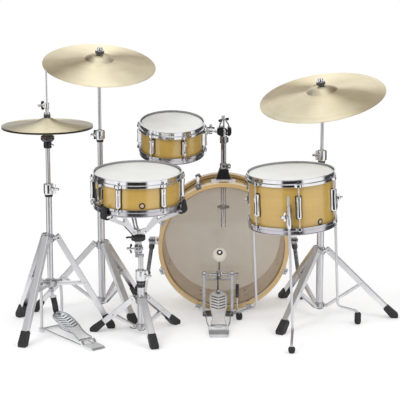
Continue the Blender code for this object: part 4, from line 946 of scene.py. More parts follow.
# Shell, heads, hoops, rods and lugs of one drum.
def buildDrum(name, drum):
    form, place, body, node = drumForm, drumPlace(drum), drum["body"], drum["node"]
    radius, depth = drum["radius"], drum["depth"]
    edgeTop = -.0018
    inner = radius - form["wall"]
    piece(
        f"{name}Shell", shellShape(radius, form["wall"], edgeTop, -depth - edgeTop), shellMaple, body, place,
        replaces=f"{node}_shell", slot="maple",
        inside=(insideMaple, lambda centre, normal: hypot(centre.x, centre.y) < inner + .0032),
    )
    middleHeight = -depth / 2
    piece(f"{name}Lugs", [along(lugShape(drum["lug"], form["lugWidth"], form["lugOut"]), azimuth, radius,
        middleHeight) for azimuth in lugAzimuths(drum)], chrome, body, place, slot="chrome")
    plan = lugPlan(drum["lug"], form["lugWidth"], .0022)
    piece(f"{name}LugGaskets", [along(patch(plan, radius - .0012, radius + .0012), azimuth, 0, middleHeight)
               for azimuth in lugAzimuths(drum)], blackNylon, body, place)
    lugTop = -(depth - drum["lug"]) / 2 - .002
    for end, foot, endPlace in (("Top", False, place), ("Foot", True, footPlace(drum))):
        azimuths = lugAzimuths(drum, foot)
        if name == "snare":
            headNode = "snare_side_head" if foot else "snare_batter_head"
            hoopNode = "snare_side_hoop" if foot else "snare_batter_hoop"
        else:
            headNode = None if foot else f"{node}_batter_head"
            hoopNode = f"{node}_bottom_hoop" if foot else f"{node}_batter_hoop"
        film = lowerFilm if foot else whiteFilm
        piece(f"{name}Head{end}", headShape(radius, form["film"]), film, body, endPlace,
              replaces=[headNode] if headNode else (), slot="clear_film" if foot else "coated_film")
        piece(f"{name}FleshHoop{end}", fleshShape(radius, form["headDepth"]), fleshAluminium, body, endPlace)
        # Painted shade: the lower hoops take the darker lowChrome, and every hoop's inner faces, in the gap
        # beside the head, take the dark chrome.
        piece(f"{name}Hoop{end}", hoopShape(drum, azimuths), lowChrome if foot else chrome, body, endPlace,
            replaces=hoopNode, slot="chrome",
            inside=(darkChrome, lambda centre, normal: hypot(centre.x, centre.y) < radius + form["hoopInner"]
            + .0004))
        seat = form["hoopFoot"] + form["skirt"]
        piece(f"{name}Rods{end}", [along(shape, azimuth, radius) for azimuth in azimuths
                for shape in rodShapes(form["rodOut"], seat, lugTop)], chrome, body, endPlace, slot="chrome")
    if "vent" in drum:
        azimuth, height = drum["vent"]
        piece(f"{name}Vent", along(ventShape(), azimuth, radius, height), darkCast, body, place)
        hole = outwards([(ventForm["hole"] + .0002, -.001), (ventForm["hole"] + .0002, .0006)])
        piece(f"{name}VentHole", along(hole, azimuth, radius, height), insideMaple, body, place)


for drumName, drumValues in drums.items():
    buildDrum(drumName, drumValues)
print("toms and snare ready")


# Wing bolts: a hub with two rounded ears, standing out along +X from its place

def wingShapes(stem, span=.034, ear=.012, hub=.0062, shank=.0034, tip=0):
    half = span / 2
    lobe = [
        (.001, .003), (half * .45, ear * .3), (half * .8, ear * .1 + .0035), (half, ear * .45),
        (half * .94, ear * .92), (half * .62, ear), (half * .36, ear * .72), (.001, ear * .45),
    ]
    outline = softened(lobe + [(-x, z) for x, z in reversed(lobe)], .003, 3)
    wing = moved(slab(outline, -.0014, .0014), turn(90, "Y") @ turn(180, "X"))
    wing = moved(wing, shift(stem - .004, 0, 0))
    hubOutline = softened([(0, stem - .008), (hub, stem - .008), (hub * .82, stem + .003), (0, stem + .004)],
        .001, 2)
    return [wing, outwards(hubOutline, 24), outwards([(shank, tip), (shank, stem - .006)], 14)]


def placedAll(shapes, place):
    return [moved(shape, place) for shape in shapes]


# Bass drum

bassDrum = {
    "radius": 10 * inch, "depth": 8 * inch, "wall": .008, "hoopRadius": .2705, "hoopWall": .0088,
    "hoopFace": .124, "hoopWidth": .04, "hoopLip": .0086, "lugs": 8, "lugLength": .112, "lugWidth": .018,
    "lugOut": .0325, "rodOut": .0255, "rod": .003, "clawWidth": .022, "film": .0004,
}


def bassPlace():
    head = middle("bass_batter_head")
    return at((head.x, middle("bass_shell").y, head.z)) @ turn(90, "X")


def bassAzimuths():
    step = 360 / bassDrum["lugs"]
    return [step / 2 + step * i for i in range(bassDrum["lugs"])]


# Around the bass drum's own axis, with +X outwards at each azimuth.
def aroundBass(shapes, height=0):
    return [moved(shape, turn(azimuth) @ shift(0, 0, height)) for azimuth in bassAzimuths()
        for shape in shapes]


def woodHoopShape(form):
    outer, inner = form["hoopRadius"] + .0004, form["hoopRadius"] - form["hoopWall"]
    face, back = form["hoopFace"], form["hoopFace"] - form["hoopWidth"]
    lip = inner - form["hoopLip"]
    outline = [(inner, back), (outer, back), (outer, face), (lip, face), (lip, face - .008),
        (inner, face - .009)]
    return lathe(outline, 180, .003, 4)


# The dark inlaid line let into the hoop's outer side.
def hoopInlay(form):
    outer = form["hoopRadius"] + .0006
    centre = form["hoopFace"] - form["hoopWidth"] / 2
    outline = offset([(-.002, -.004), (0, -.004), (0, .004), (-.002, .004)], outer, centre)
    return lathe(outline, 180, .0004)


# A cast claw that hooks over the hoop, with the rod's boss behind it.
def clawShapes(form):
    centre = form["radius"] + form["rodOut"]
    hoop, face = form["hoopRadius"], form["hoopFace"]
    half = form["clawWidth"] / 2
    profile = offset([(hoop - .0075, -.003), (hoop - .007, .0028), (hoop + .002, .003),
        (hoop + .0052, -.001), (centre + .0062, -.0105), (centre + .0068, -.02), (centre + .0056, -.029),
        (centre - .004, -.029), (hoop + .0012, -.018), (hoop + .001, .0003), (hoop - .0045, .0003),
        (hoop - .005, -.003)], 0, face)
    hook = slab(profile, -half, half, .0018, 3)
    points = []
    for point in hook[0]:
        # narrower over the face and round the rod, wider at the bend
        share = 1 - .28 * max(0, (hoop + .001 - point.x) / .009)
        points.append(Vector((point.x, point.y * share, point.z)))
    boss = spindle([(.007, 0), (.0078, .004), (.0078, .016), (.0062, .021)], (centre, 0, face - .031),
        (centre, 0, face - .01), 28, .0012)
    return [(points, hook[1]), boss]


def clawRodShapes(form):
    centre = form["radius"] + form["rodOut"]
    face = form["hoopFace"]
    head = turned([(.0058, 0), (.0056, .01), (.004, .013)], 6, .001)
    return [
        bar((centre, 0, .05), (centre, 0, face - .01), form["rod"], 14),
        bar((centre, 0, face - .0102), (centre, 0, face - .0086), .007, 22, .0003),
        moved(head, shift(centre, 0, face - .0088)),
    ]


def spurBracketShapes(form, side):
    out = form["radius"]
    plate = moved(patch(rectangle(.022, -.024, .024), out - .004, out + .006, .007), turn(90, "X"))
    collar = spindle([(.0205, 0), (.02, .01), (.0175, .024)], (out + .004, 0, 0), (out + .028, 0, 0), 40,
        .0015, 3)
    screws = [spindle([(.0042, 0), (.0038, .0028), (0, .0032)], (out + .0058, x, y), (out + .009, x, y), 16,
        .0006) for x in (-.0165, .0165) for y in (-.0185, .0185)]
    return placedAll([plate, collar, *screws], turn(0) if side > 0 else turn(180))


# One end: film, flesh hoop, wooden hoop, claws and rods; +Z is that end's outward way.
def buildBassEnd(name, place, film, slot, nodeEnd):
    form = bassDrum
    lift = form["depth"] / 2 + .0018
    radius = form["radius"]
    onKit = "kit", place
    piece(f"bassHead{name}", moved(headShape(radius + .0006, form["film"], 180), shift(0, 0, lift)), film,
        *onKit, replaces=f"bass_{nodeEnd}_head", slot=slot)
    # A real flesh hoop, coloured dark brown as painted shade for the shadowed gap between the wooden hoop
    # and the head.
    piece(f"bassFleshHoop{name}", lathe(offset([(.0008, -.012), (.0036, -.012), (.0036, -.0082),
        (.0008, -.0082)], radius, lift), 180, .0006), brownSteel, *onKit)
    piece(f"bassHoop{name}", woodHoopShape(form), hoopMaple, *onKit,
          replaces=f"bass_{nodeEnd}_hoop", slot="hoop_wood")
    piece(f"bassHoopInlay{name}", hoopInlay(form), brownSteel, *onKit)
    piece(f"bassClaws{name}", aroundBass(clawShapes(form)), darkChrome, *onKit, edge=.0006, slot="chrome")
    piece(f"bassRods{name}", aroundBass(clawRodShapes(form)), chrome, *onKit)


def buildBassDrum():
    form, place = bassDrum, bassPlace()
    radius, half = form["radius"], form["depth"] / 2
    shell = shellShape(radius, form["wall"], half, -half, 180)
    onKit = "kit", place
    piece("bassShell", shell, shellMaple, *onKit, replaces="bass_shell", slot="maple",
          inside=(insideMaple, lambda centre, normal: hypot(centre.x, centre.y) < radius - .0045))
    lug = moved(lugShape(form["lugLength"], form["lugWidth"], form["lugOut"]), shift(radius, 0, 0))
    piece("bassLugs", aroundBass([lug]), chrome, *onKit, slot="chrome")
    plan = patch(lugPlan(form["lugLength"], form["lugWidth"], .0018), radius - .0012, radius + .0014)
    piece("bassLugGaskets", aroundBass([plan]), blackNylon, *onKit)
    inner = radius - form["wall"]
    washer = outwards([(.0085, 0), (.008, .0012)], 24, .0003)
    head = outwards([(.005, 0), (.0042, .003), (0, .0034)], 20, .0008, 3)
    screws = [moved(shape, shift(inner, 0, height) @ turn(180)) for height in (-.03, .03)
        for shape in (washer, head)]
    piece("bassLugScrews", aroundBass(screws), darkChrome, *onKit)
    piece("bassSpurBrackets", [shape for side in (-1, 1) for shape in spurBracketShapes(form, side)], chrome,
        *onKit, edge=.0006, slot="chrome")
    piece("bassVent", moved(ventShape(), turn(135) @ shift(radius, 0, -.045)), chrome, *onKit)
    buildBassEnd("Batter", place, batterFilm, "clear_film", "batter")
    buildBassEnd("Front", place @ turn(180, "Y"), frontFilm, "coated_film", "front")


# Spurs: a ribbed barrel on the hinge, an outer tube, a thinner one drawn out of it, and a rubber foot

spur = {"barrel": .0175, "knee": .014, "tube": .0085, "rod": .006, "reach": (.054, .078), "foot": .012}


def buildSpur(body, node, side):
    hinge = pivot(f"{node}_fold")
    place = at(hinge)
    knee = Vector((side * spur["knee"], 0, 0))
    foot = Vector((side * spur["reach"][0], spur["reach"][1], -hinge.z))
    ribs = [(0, .0004)]
    for i in range(4):
        low = .0006 + i * .0066
        ribs += offset([(-.0014, 0), (0, .0012), (0, .0048), (-.0014, .006)], spur["barrel"], low)
    ribs.append((0, .0275))
    barrel = spindle(ribs, (0, 0, 0), (side * .0276, 0, 0), 40)
    cap = spindle([(.0095, 0), (.008, .004), (0, .0045)], (side * .027, 0, 0), (side * .032, 0, 0), 28, .001)
    sleeve = spindle([(.0115, 0), (.0122, .006), (.0122, .034), (.0105, .04)], knee, knee.lerp(foot, .16),
        32, .0016, 3)
    label = "spurLeft" if side < 0 else "spurRight"
    piece(f"{label}Barrel", [barrel, cap], lowChrome, body, place, replaces=node, slot="dark_steel")
    piece(f"{label}Sleeve", sleeve, darkCast, body, place)
    length = (foot - knee).length
    outer = bar(knee.lerp(foot, .1), knee.lerp(foot, .56), spur["tube"], 28, .0012)
    lock = spindle([(.0118, 0), (.0118, .016)], knee.lerp(foot, .53), knee.lerp(foot, .53 + .016 / length),
        28, .0014)
    thin = bar(knee.lerp(foot, .54), knee.lerp(foot, .95), spur["rod"], 20)
    piece(f"{label}Tube", [outer, lock], darkCast, body, place)
    piece(f"{label}Rod", thin, chrome, body, place)
    way = (foot - knee).normalized()
    start = foot - way * .034
    rings = []
    for share, width in ((0, .0068), (.12, .0092), (.45, .0102), (.6, .0118), (.9, .0122), (1, .0112)):
        centre = start + way * (.034 * share)
        rings.append([centre + Vector((x, y, 0)) for x, y in circle(0, 0, width, 28)])
    for ring in rings[-2:]:
        for point in ring:
            point.z = max(point.z, -hinge.z + .0005)
    rings[-1] = [Vector((point.x, point.y, -hinge.z + .0003)) for point in rings[-1]]
    piece(f"{label}Foot", loft(rings), rubber, body, place)


# Tom mount on the bass drum: flange, tapered cover, clamp collar with its key bolt, and the pipe

tomMount = {
    "flangeHalf": (.052, .03), "cover": ((.0305, .03), (.018, .0185)), "collar": (.583, .609),
    "collarRadius": .0178, "pipe": .011, "pipeEnds": (.337, .7225), "stop": (.417, .427),
    "memory": (.6935, .722),
}


def squareRing(halfX, halfY, cut, height):
    return [Vector((p.x, p.y, height)) for p in softened(
        [(halfX, -halfY), (halfX, halfY), (-halfX, halfY), (-halfX, -halfY)], cut, 4)]


def buildTomMount():
    form = tomMount
    mount = middle("tom_mount_pipe")
    bassAxis = bassPlace().translation
    place = at((mount.x, mount.y, 0))
    top = bassAxis.z + bassDrum["radius"]
    halfX, halfY = form["flangeHalf"]
    # The flange follows the shell's curve underneath.
    grid = []
    for layer in (0, 1):
        rows = []
        for i in range(25):
            x = -halfX + 2 * halfX * i / 24
            under = sqrt(bassDrum["radius"] ** 2 - x * x) + bassAxis.z + .0002
            rows.append((x, under if layer == 0 else max(under + .0026, top + .004 - .6 * x * x)))
        grid.append(rows)
    outline = grid[0] + list(reversed(grid[1]))
    flange = slab(outline, -halfY, halfY)
    onKit = "kit", place
    piece("tomMountFlange", flange, castMetal, *onKit, edge=.0012, replaces="tom_mount_base", slot="chrome")
    piece("tomMountGasket", slab([(x * 1.05, z - .0002) for x, z in grid[0]] + [(x * 1.05, z + .0012)
        for x, z in reversed(grid[0])], -halfY - .0032, halfY + .0032), blackNylon, *onKit)
    (lowX, lowY), (highX, highY) = form["cover"]
    piece("tomMountCover", loft([squareRing(lowX + .0012, lowY - .0038, .004, top + .0118),
        squareRing(lowX, lowY - .005, .004, top + .0136),
        squareRing(highX, highY, .004, form["collar"][0] + .001),
        squareRing(highX - .003, highY - .003, .004, form["collar"][0] + .0035)]), blackNylon, *onKit,
        edge=.0008)
    piece("tomMountSeat", loft([squareRing(lowX + .006, lowY + .001, .004, top + .003),
        squareRing(lowX + .0055, lowY + .0005, .004, top + .006), squareRing(lowX + .0022, lowY - .003, .004,
        top + .0085), squareRing(lowX + .0018, lowY - .0034, .004, top + .012)]), chrome, *onKit, edge=.0008)
    low, high = form["collar"]
    collar = lathe([(form["pipe"] + .0005, low), (form["collarRadius"], low),
        (form["collarRadius"], low + .006), (form["collarRadius"] - .0025, low + .008),
        (form["collarRadius"] - .0025, high - .004), (form["collarRadius"] - .0045, high),
        (form["pipe"] + .0005, high)], 48, .001, 3)
    lugs = [block((.01, -.0075, low + .004), (.03, -.0012, high - .004), .004),
        block((.01, .0012, low + .004), (.03, .0075, high - .004), .004)]
    boss = bar((.022, -.012, (low + high) / 2), (.022, .012, (low + high) / 2), .005, 20)
    wing = placedAll(wingShapes(.03, .036, .013), shift(.022, 0, (low + high) / 2) @ turn(-90))
    piece("tomMountCollar", [collar, *lugs, boss], darkChrome, *onKit, edge=.0006)
    piece("tomMountWing", wing, chrome, *onKit, edge=.0005)
    foot, tip = form["pipeEnds"]
    piece("tomPipe", lathe(offset([(-.0018, foot), (0, foot + .0006), (0, tip), (-.0018, tip)],
        form["pipe"]), 40), lowChrome, "tom_pipe", place, replaces="tom_mount_pipe", slot="chrome")
    stopLow, stopHigh = form["stop"]
    ring = lathe([(form["pipe"], stopLow - .003), (.015, stopLow - .003), (.015, stopHigh + .003),
        (form["pipe"], stopHigh + .003)], 32, .001)
    bars = [block((-.025, -.005, stopLow), (-.01, .005, stopHigh), .002),
        block((.01, -.005, stopLow), (.025, .005, stopHigh), .002)]
    piece("tomPipeStop", [ring, *bars], blackNylon, "tom_pipe", place, edge=.0006)
    low, high = form["memory"]
    memory = lathe([(form["pipe"], low), (.0155, low), (.0155, high), (form["pipe"], high)], 40, .0012, 3)
    ears = block((.012, -.006, low + .004), (.0205, .006, high - .004), .0025)
    screw = bar((.0165, -.01, (low + high) / 2), (.0165, .0092, (low + high) / 2), .0034, 14)
    piece("tomPipeMemory", [memory, ears, screw], darkChrome, "tom_pipe", place, edge=.0006)


# Ball clamp over the pipe, its bracket and wing nut, and the rod to the tom

tomHolder = {"rod": .005, "ball": .0165}


def buildTomHolder():
    centre = pivot("tom_tilt")
    body, place = "tom_arm", at(centre)
    profileLeft = softened([(-.0275, -.012), (-.01, -.02), (.0005, -.02), (.0005, .019), (-.012, .02),
        (-.0275, .013)], .005, 4)
    profileRight = softened([(.0155, -.018), (.0255, -.0195), (.0325, -.01), (.0325, .012), (.0255, .019),
        (.0155, .019)], .004, 4)
    left = slab(profileLeft, -.018, .018)
    right = slab(profileRight, -.0175, .0175)
    piece("tomHolderJaws", [left, right], darkCast, body, place, edge=.0014, replaces="tom_holder",
        slot="chrome")
    ball = lathe([(0, -tomHolder["ball"])] + [(tomHolder["ball"] * cos(a), tomHolder["ball"] * sin(a))
        for a in [radians(d) for d in range(-80, 81, 10)]] + [(0, tomHolder["ball"])], 40)
    piece("tomHolderBall", moved(ball, turn(90, "Y") @ Matrix.Diagonal((1, 1, .95, 1))), chrome, body, place)
    piece("tomHolderSocket", turned([(.014, -.0212), (.016, -.015), (.0145, -.01)], 40, .001, 3), chrome,
        body, place)
    # Two straps rise from the jaws and meet under the wing nut.
    straps = []
    for side in (-1, 1):
        x = -.0165 if side < 0 else .0215
        route = spline([(x, 0, .017), (x * .98, 0, .026), (x * .55, 0, .041), (x * .3, 0, .05)], 5)
        straps.append(sweep(route, 1, section=[(.0022, -.012), (.0022, .012), (-.0022, .012),
            (-.0022, -.012)], side=(1, 0, 0)))
    straps.append(block((-.0085, -.0125, .048), (.0095, .0125, .0515), .0015))
    piece("tomHolderStraps", straps, darkChrome, body, place, edge=.0007)
    piece("tomHolderBolt", [bar((.0005, 0, .012), (.0005, 0, .0665), .0036, 16),
        bar((.0005, 0, .0512), (.0005, 0, .0535), .0078, 24, .0004)], chrome, body, place)
    piece("tomHolderWing", placedAll(wingShapes(.0165, .046, .018, .0074, tip=.008),
        shift(.0005, 0, .046) @ turn(-12, "Y") @ turn(-90, "Y")), chrome, body, place, edge=.0005)
    tip = middle("rack_tom_batter_head").x + drums["rackTom"]["radius"] - centre.x + .0035
    rod = bar((-.018, 0, 0), (tip, 0, 0), tomHolder["rod"], 24, .001)
    sleeve = spindle([(.0092, 0), (.0075, .01)], (-.0265, 0, 0), (-.037, 0, 0), 28, .001)
    piece("tomHolderRod", [rod, sleeve], chrome, body, place)


buildBassDrum()
buildSpur("spur_left_leg", "spur_left", -1)
buildSpur("spur_right_leg", "spur_right", 1)
buildTomMount()
buildTomHolder()
print("bass drum and tom mount ready")


# Tripod stands

stands = {
    "crash": {
        "node": "crash_stand", "spread": .282, "hub": (.035, .062), "collar": (.271, .301), "top": .505,
        "tube": .0145, "wingAt": -160,
    },
    "ride": {
        "node": "ride_stand", "spread": .308, "hub": (.034, .06), "collar": (.264, .294), "top": .48,
        "tube": .0145, "wingAt": 160,
    },
    "snare": {
        "node": "snare_stand", "spread": .194, "hub": (.02, .046), "collar": (.128, .156), "top": .266,
        "tube": .0145, "wingAt": 60,
    },
    "hihat": {
        "node": "hihat_stand", "spread": .238, "hub": (.178, .214), "collar": (.364, .394), "top": .6,
        "tube": .0118, "wingAt": 70, "braceScale": 1.3,
    },
}
legForm = {
    "pivot": .034, "width": .026, "depth": .022, "wall": .002, "boot": .052, "bootHalf": .0155,
    "braceWidth": .015, "braceDepth": .013, "braceAt": .5, "clampHeight": .054,
}


# Middle of a stand on the floor, and the azimuth of each leg, from its leg pins.
def standLayout(stand):
    pins = [pivot(f"{stand['node']}_leg_{number}_fold") for number in (1, 2, 3)]
    centre = sum(pins, Vector()) / 3
    azimuths = [degrees(atan2(pin.x - centre.x, -(pin.y - centre.y))) for pin in pins]
    return Vector((centre.x, centre.y, 0)), centre.z, azimuths


# A U-shaped section: width across, depth up, folded down along both sides.
def channelSection(width, depth, wall):
    half, lid, inside = width / 2, depth / 2, width / 2 - wall
    outline = [
        (-half, -lid), (-half, lid), (half, lid), (half, -lid), (inside, -lid), (inside, lid - wall),
        (-inside, lid - wall), (-inside, -lid),
    ]
    return softened(outline, .003, 3)


# A strip of a section laid in the XZ plane through points; its lid faces up and out.
def strip(route, section):
    rings = []
    route = [Vector(point) for point in route]
    for i, point in enumerate(route):
        ahead = route[min(i + 1, len(route) - 1)] - route[max(i - 1, 0)]
        direction = ahead.normalized()
        up = Vector((-direction.z, 0, direction.x))
        if up.z < 0:
            up = -up
        rings.append([point + Vector((0, y, 0)) + up * z for y, z in section])
    return loft(rings)


def boltAcross(x, z, half, head=.0046, shank=.0026):
    return [bar((x, -half, z), (x, half, z), shank, 12),
        spindle([(head, 0), (head, .0022), (head * .6, .0034), (0, .0036)], (x, half - .0004, z),
        (x, half + .004, z), 20, .0006), spindle([(head, 0), (head, .0028), (0, .003)],
        (x, -half + .0004, z), (x, -half - .004, z), 6, .0006)]


def buildLegs(name, stand):
    centre, pinHeight, azimuths = standLayout(stand)
    form = legForm
    run = stand["spread"] - form["pivot"]
    drop = pinHeight
    end = Vector((run, 0, .01 - drop))
    way = end.normalized()
    up = Vector((-way.z, 0, way.x))
    section = channelSection(form["width"], form["depth"], form["wall"])
    heel = end - way * form["boot"]
    for number, azimuth in enumerate(azimuths, 1):
        body = f"{stand['node']}_foot_{number}"
        place = at(centre) @ facing(azimuth) @ shift(form["pivot"], 0, pinHeight)
        piece(f"{name}Leg{number}", strip([way * -.0125, way * .02, way * (end.length * .5),
            end - way * .022], section), legSteel, body, place, replaces=f"{stand['node']}_leg_{number}",
            slot="chrome")
        outline = softened([(run + .015, -drop + .0003), (run - .014, -drop + .0003),
            (heel.x - up.x * .0128, heel.z - up.z * .0128), (heel.x + up.x * .0122, heel.z + up.z * .0122),
            (run + .0168, -drop + .016)], .0055, 4)
        boot = slab(outline, -form["bootHalf"], form["bootHalf"])
        collar = strip([heel - way * .003, heel + way * .007], softened(
            rectangle(.0148, -.0112, .0106), .004, 3))
        piece(f"{name}Boot{number}", [boot, collar], rubber, body, place, edge=.0022)
        joint = way * (end.length * form["braceAt"]) - up * .0015
        rivets = boltAcross(0, 0, form["width"] / 2 + .0004, .0052)
        rivets += boltAcross(joint.x, joint.z, form["width"] / 2 + .0002, .0038)
        piece(f"{name}LegPins{number}", rivets, chrome, body, place)
        hubLow, hubHigh = stand["hub"]
        foot = Vector((.03 - form["pivot"], 0, (hubLow + hubHigh) / 2 - drop))
        route = [foot.lerp(joint, i / 12) for i in range(13)]
        toJoint = (joint - foot).normalized()
        route = [foot - toJoint * .005, *route, joint + toJoint * .006]
        wide = form["braceWidth"] * stand.get("braceScale", 1)
        braceSection = channelSection(wide, form["braceDepth"], .0018)
        piece(f"{name}Brace{number}", strip(route, [(y, z - .001) for y, z in braceSection]), pressedSteel,
            body, place, blend=("kit", body, place @ foot, place @ joint), slot="chrome")


# Cast ring with a tongue for each leg or brace.
def tongueShapes(azimuths, inner, out, low, high, half, pinHeight, bolts=True):
    shapes = []
    for azimuth in azimuths:
        outline = softened([(inner, low + .002), (out - .004, pinHeight - .0065),
            (out + .0042, pinHeight - .004), (out + .0042, pinHeight + .0045),
            (out - .004, pinHeight + .0065), (inner, high - .002)], .003, 3)
        shapes.append(along(slab(outline, -half, half), azimuth))
        if bolts:
            shapes += alongAll(boltAcross(out, pinHeight, half + .0035, .004), azimuth)
    return shapes


# Tube clamp: a body with a slit and boss, a nylon ring below, and a wing bolt standing out of it
def clampPieces(name, body, place, tube, low, high, wingAt, wingSpan=.042, stem=.022):
    outer = tube + .007
    skirt = low + .01
    shape = lathe([(tube - .0015, skirt), (outer - .0016, skirt), (outer, skirt + .004),
        (outer + .0006, (low + high) / 2), (outer, high - .005), (outer - .0022, high),
        (tube - .0015, high)], 48, .0016, 3)
    height = (skirt + high) / 2
    boss = along(outwards([(.009, tube), (.008, outer + .0055), (.0062, outer + .007)], 32, .0012, 3),
        wingAt, 0, height)
    rib = along(block((outer - .003, -.0022, skirt + .003), (outer + .003, .0022, high - .004), .0015),
        wingAt + 180)
    piece(f"{name}Clamp", [shape, boss, rib], satinChrome, body, place, edge=.0005, slot="chrome")
    piece(f"{name}ClampRing", lathe(offset([(-.0008, low), (.003, low), (.004, low + .003),
        (.004, skirt + .0004), (-.0008, skirt + .0004)], tube), 48, .0008), blackNylon, body, place)
    piece(f"{name}ClampWing", alongAll(wingShapes(outer + stem, wingSpan, .019, .0062, tip=outer), wingAt, 0,
        height), chrome, body, place, edge=.0005)


def buildStandBase(name, stand):
    centre, pinHeight, azimuths = standLayout(stand)
    place = at(centre)
    tube = stand["tube"]
    hubLow, hubHigh = stand["hub"]
    collarLow, collarHigh = stand["collar"]
    top = stand["top"]
    piece(f"{name}BaseTube", pipe(tube, .0018, hubLow + .002, top - .006, 56), tubeChrome, "kit", place,
        replaces=f"{stand['node']}_base", slot="chrome")
    plug = turned(offset([(.0002, -.001), (.0016, .002), (.0016, .006)], tube, hubLow), 40, .001)
    if name == "hihat":
        plug = lathe(offset([(0, 0), (.0016, 0), (.0016, .004), (0, .004)], tube, hubLow), 40, .0004)
    piece(f"{name}TubePlug", plug, blackNylon, "kit", place)
    collar = lathe(offset([(0, collarLow), (.005, collarLow), (.0062, collarLow + .005),
        (.0062, collarHigh - .006), (.0048, collarHigh), (0, collarHigh)], tube), 48, .0012, 3)
    plates = tongueShapes(azimuths, tube + .002, legForm["pivot"], collarLow + .002, collarHigh - .002,
        .0068, pinHeight, False)
    piece(f"{name}Collar", [collar, *plates], castMetal, "kit", place, edge=.0006, slot="chrome")
    hub = lathe(offset([(0, hubLow + .003), (.0045, hubLow + .003), (.006, hubLow + .008), (.005, hubHigh),
        (0, hubHigh)], tube), 48, .0012, 3)
    hubMiddle = (hubLow + hubHigh) / 2
    ears = tongueShapes(azimuths, tube + .002, .03, hubLow + .005, hubHigh - .003, .0042, hubMiddle)
    piece(f"{name}Hub", [hub, *ears], castMetal, "kit", place, edge=.0005, slot="chrome")
    keyAt = azimuths[0] + 60
    piece(f"{name}CollarKey", alongAll(wingShapes(tube + .0175, .024, .01, .0048, .003, tip=tube), keyAt, 0,
        collarHigh - .009), chrome, "kit", place, edge=.0004)
    clampPieces(f"{name}Base", "kit", place, tube, top - legForm["clampHeight"], top, stand["wingAt"])
    buildLegs(name, stand)
    return place


# Cymbals, their posts and tilters

cymbals = {
    "crash": {"radius": 9 * inch, "bell": .062, "bellHeight": .02, "bow": .026, "hole": .0064, "lean": 15,
        "roll": 4.4, "clamp": (.717, .768)},
    "ride": {"radius": 10 * inch, "bell": .066, "bellHeight": .021, "bow": .03, "hole": .0064, "lean": 13.6,
        "roll": -9.2, "clamp": (.643, .698)},
    "hihat": {"radius": 7 * inch, "bell": .05, "bellHeight": .018, "bow": .014, "hole": .0062,
        "flared": True},
}
tilterForm = {"seat": .048, "thin": .0062, "cheek": .0125, "middle": .0104}


# Thin turned plate: bell, bow and rim; the rim is at height 0.
def cymbalShape(cymbal, sides=192, thick=.0012):
    radius, bell, bow, rise = cymbal["radius"], cymbal["bell"], cymbal["bow"], cymbal["bellHeight"]
    flare = [(cymbal["hole"], 1), (.012, .985), (.02, .9), (.03, .755), (.042, .62), (.058, .5), (.08, .385),
             (.105, .28), (.135, .165), (.162, .058), (radius - .004, .014), (radius, 0)]
    upper = [(x, share * (bow + rise)) for x, share in flare] if cymbal.get("flared") else [
        (cymbal["hole"], bow + rise), (bell * .3, bow + rise - .0008), (bell * .58, bow + rise - .0048),
        (bell * .8, bow + rise * .42), (bell * .93, bow + rise * .14), (bell * 1.04, bow + .0006),
        (bell + (radius - bell) * .25, bow * .86), (bell + (radius - bell) * .5, bow * .615),
        (bell + (radius - bell) * .75, bow * .325), (radius - .004, bow * .032), (radius, 0),
    ]
    curve = spline(upper, 5)
    lower = [(x, z - thick) for x, z in reversed(curve)]
    return lathe(curve + [(radius + .0003, -thick / 2)] + lower, sides)


def stackShapes(seat):
    lower = lathe(offset([(.004, -.009), (.0165, -.009), (.0175, -.004), (.0165, .0018), (.004, .0018)], 0,
        seat), 36, .0022, 3)
    upper = lathe(offset([(.004, .0078), (.0178, .0078), (.0186, .0135), (.0178, .02), (.004, .02)], 0,
        seat), 36, .0024, 3)
    return [lower, upper]


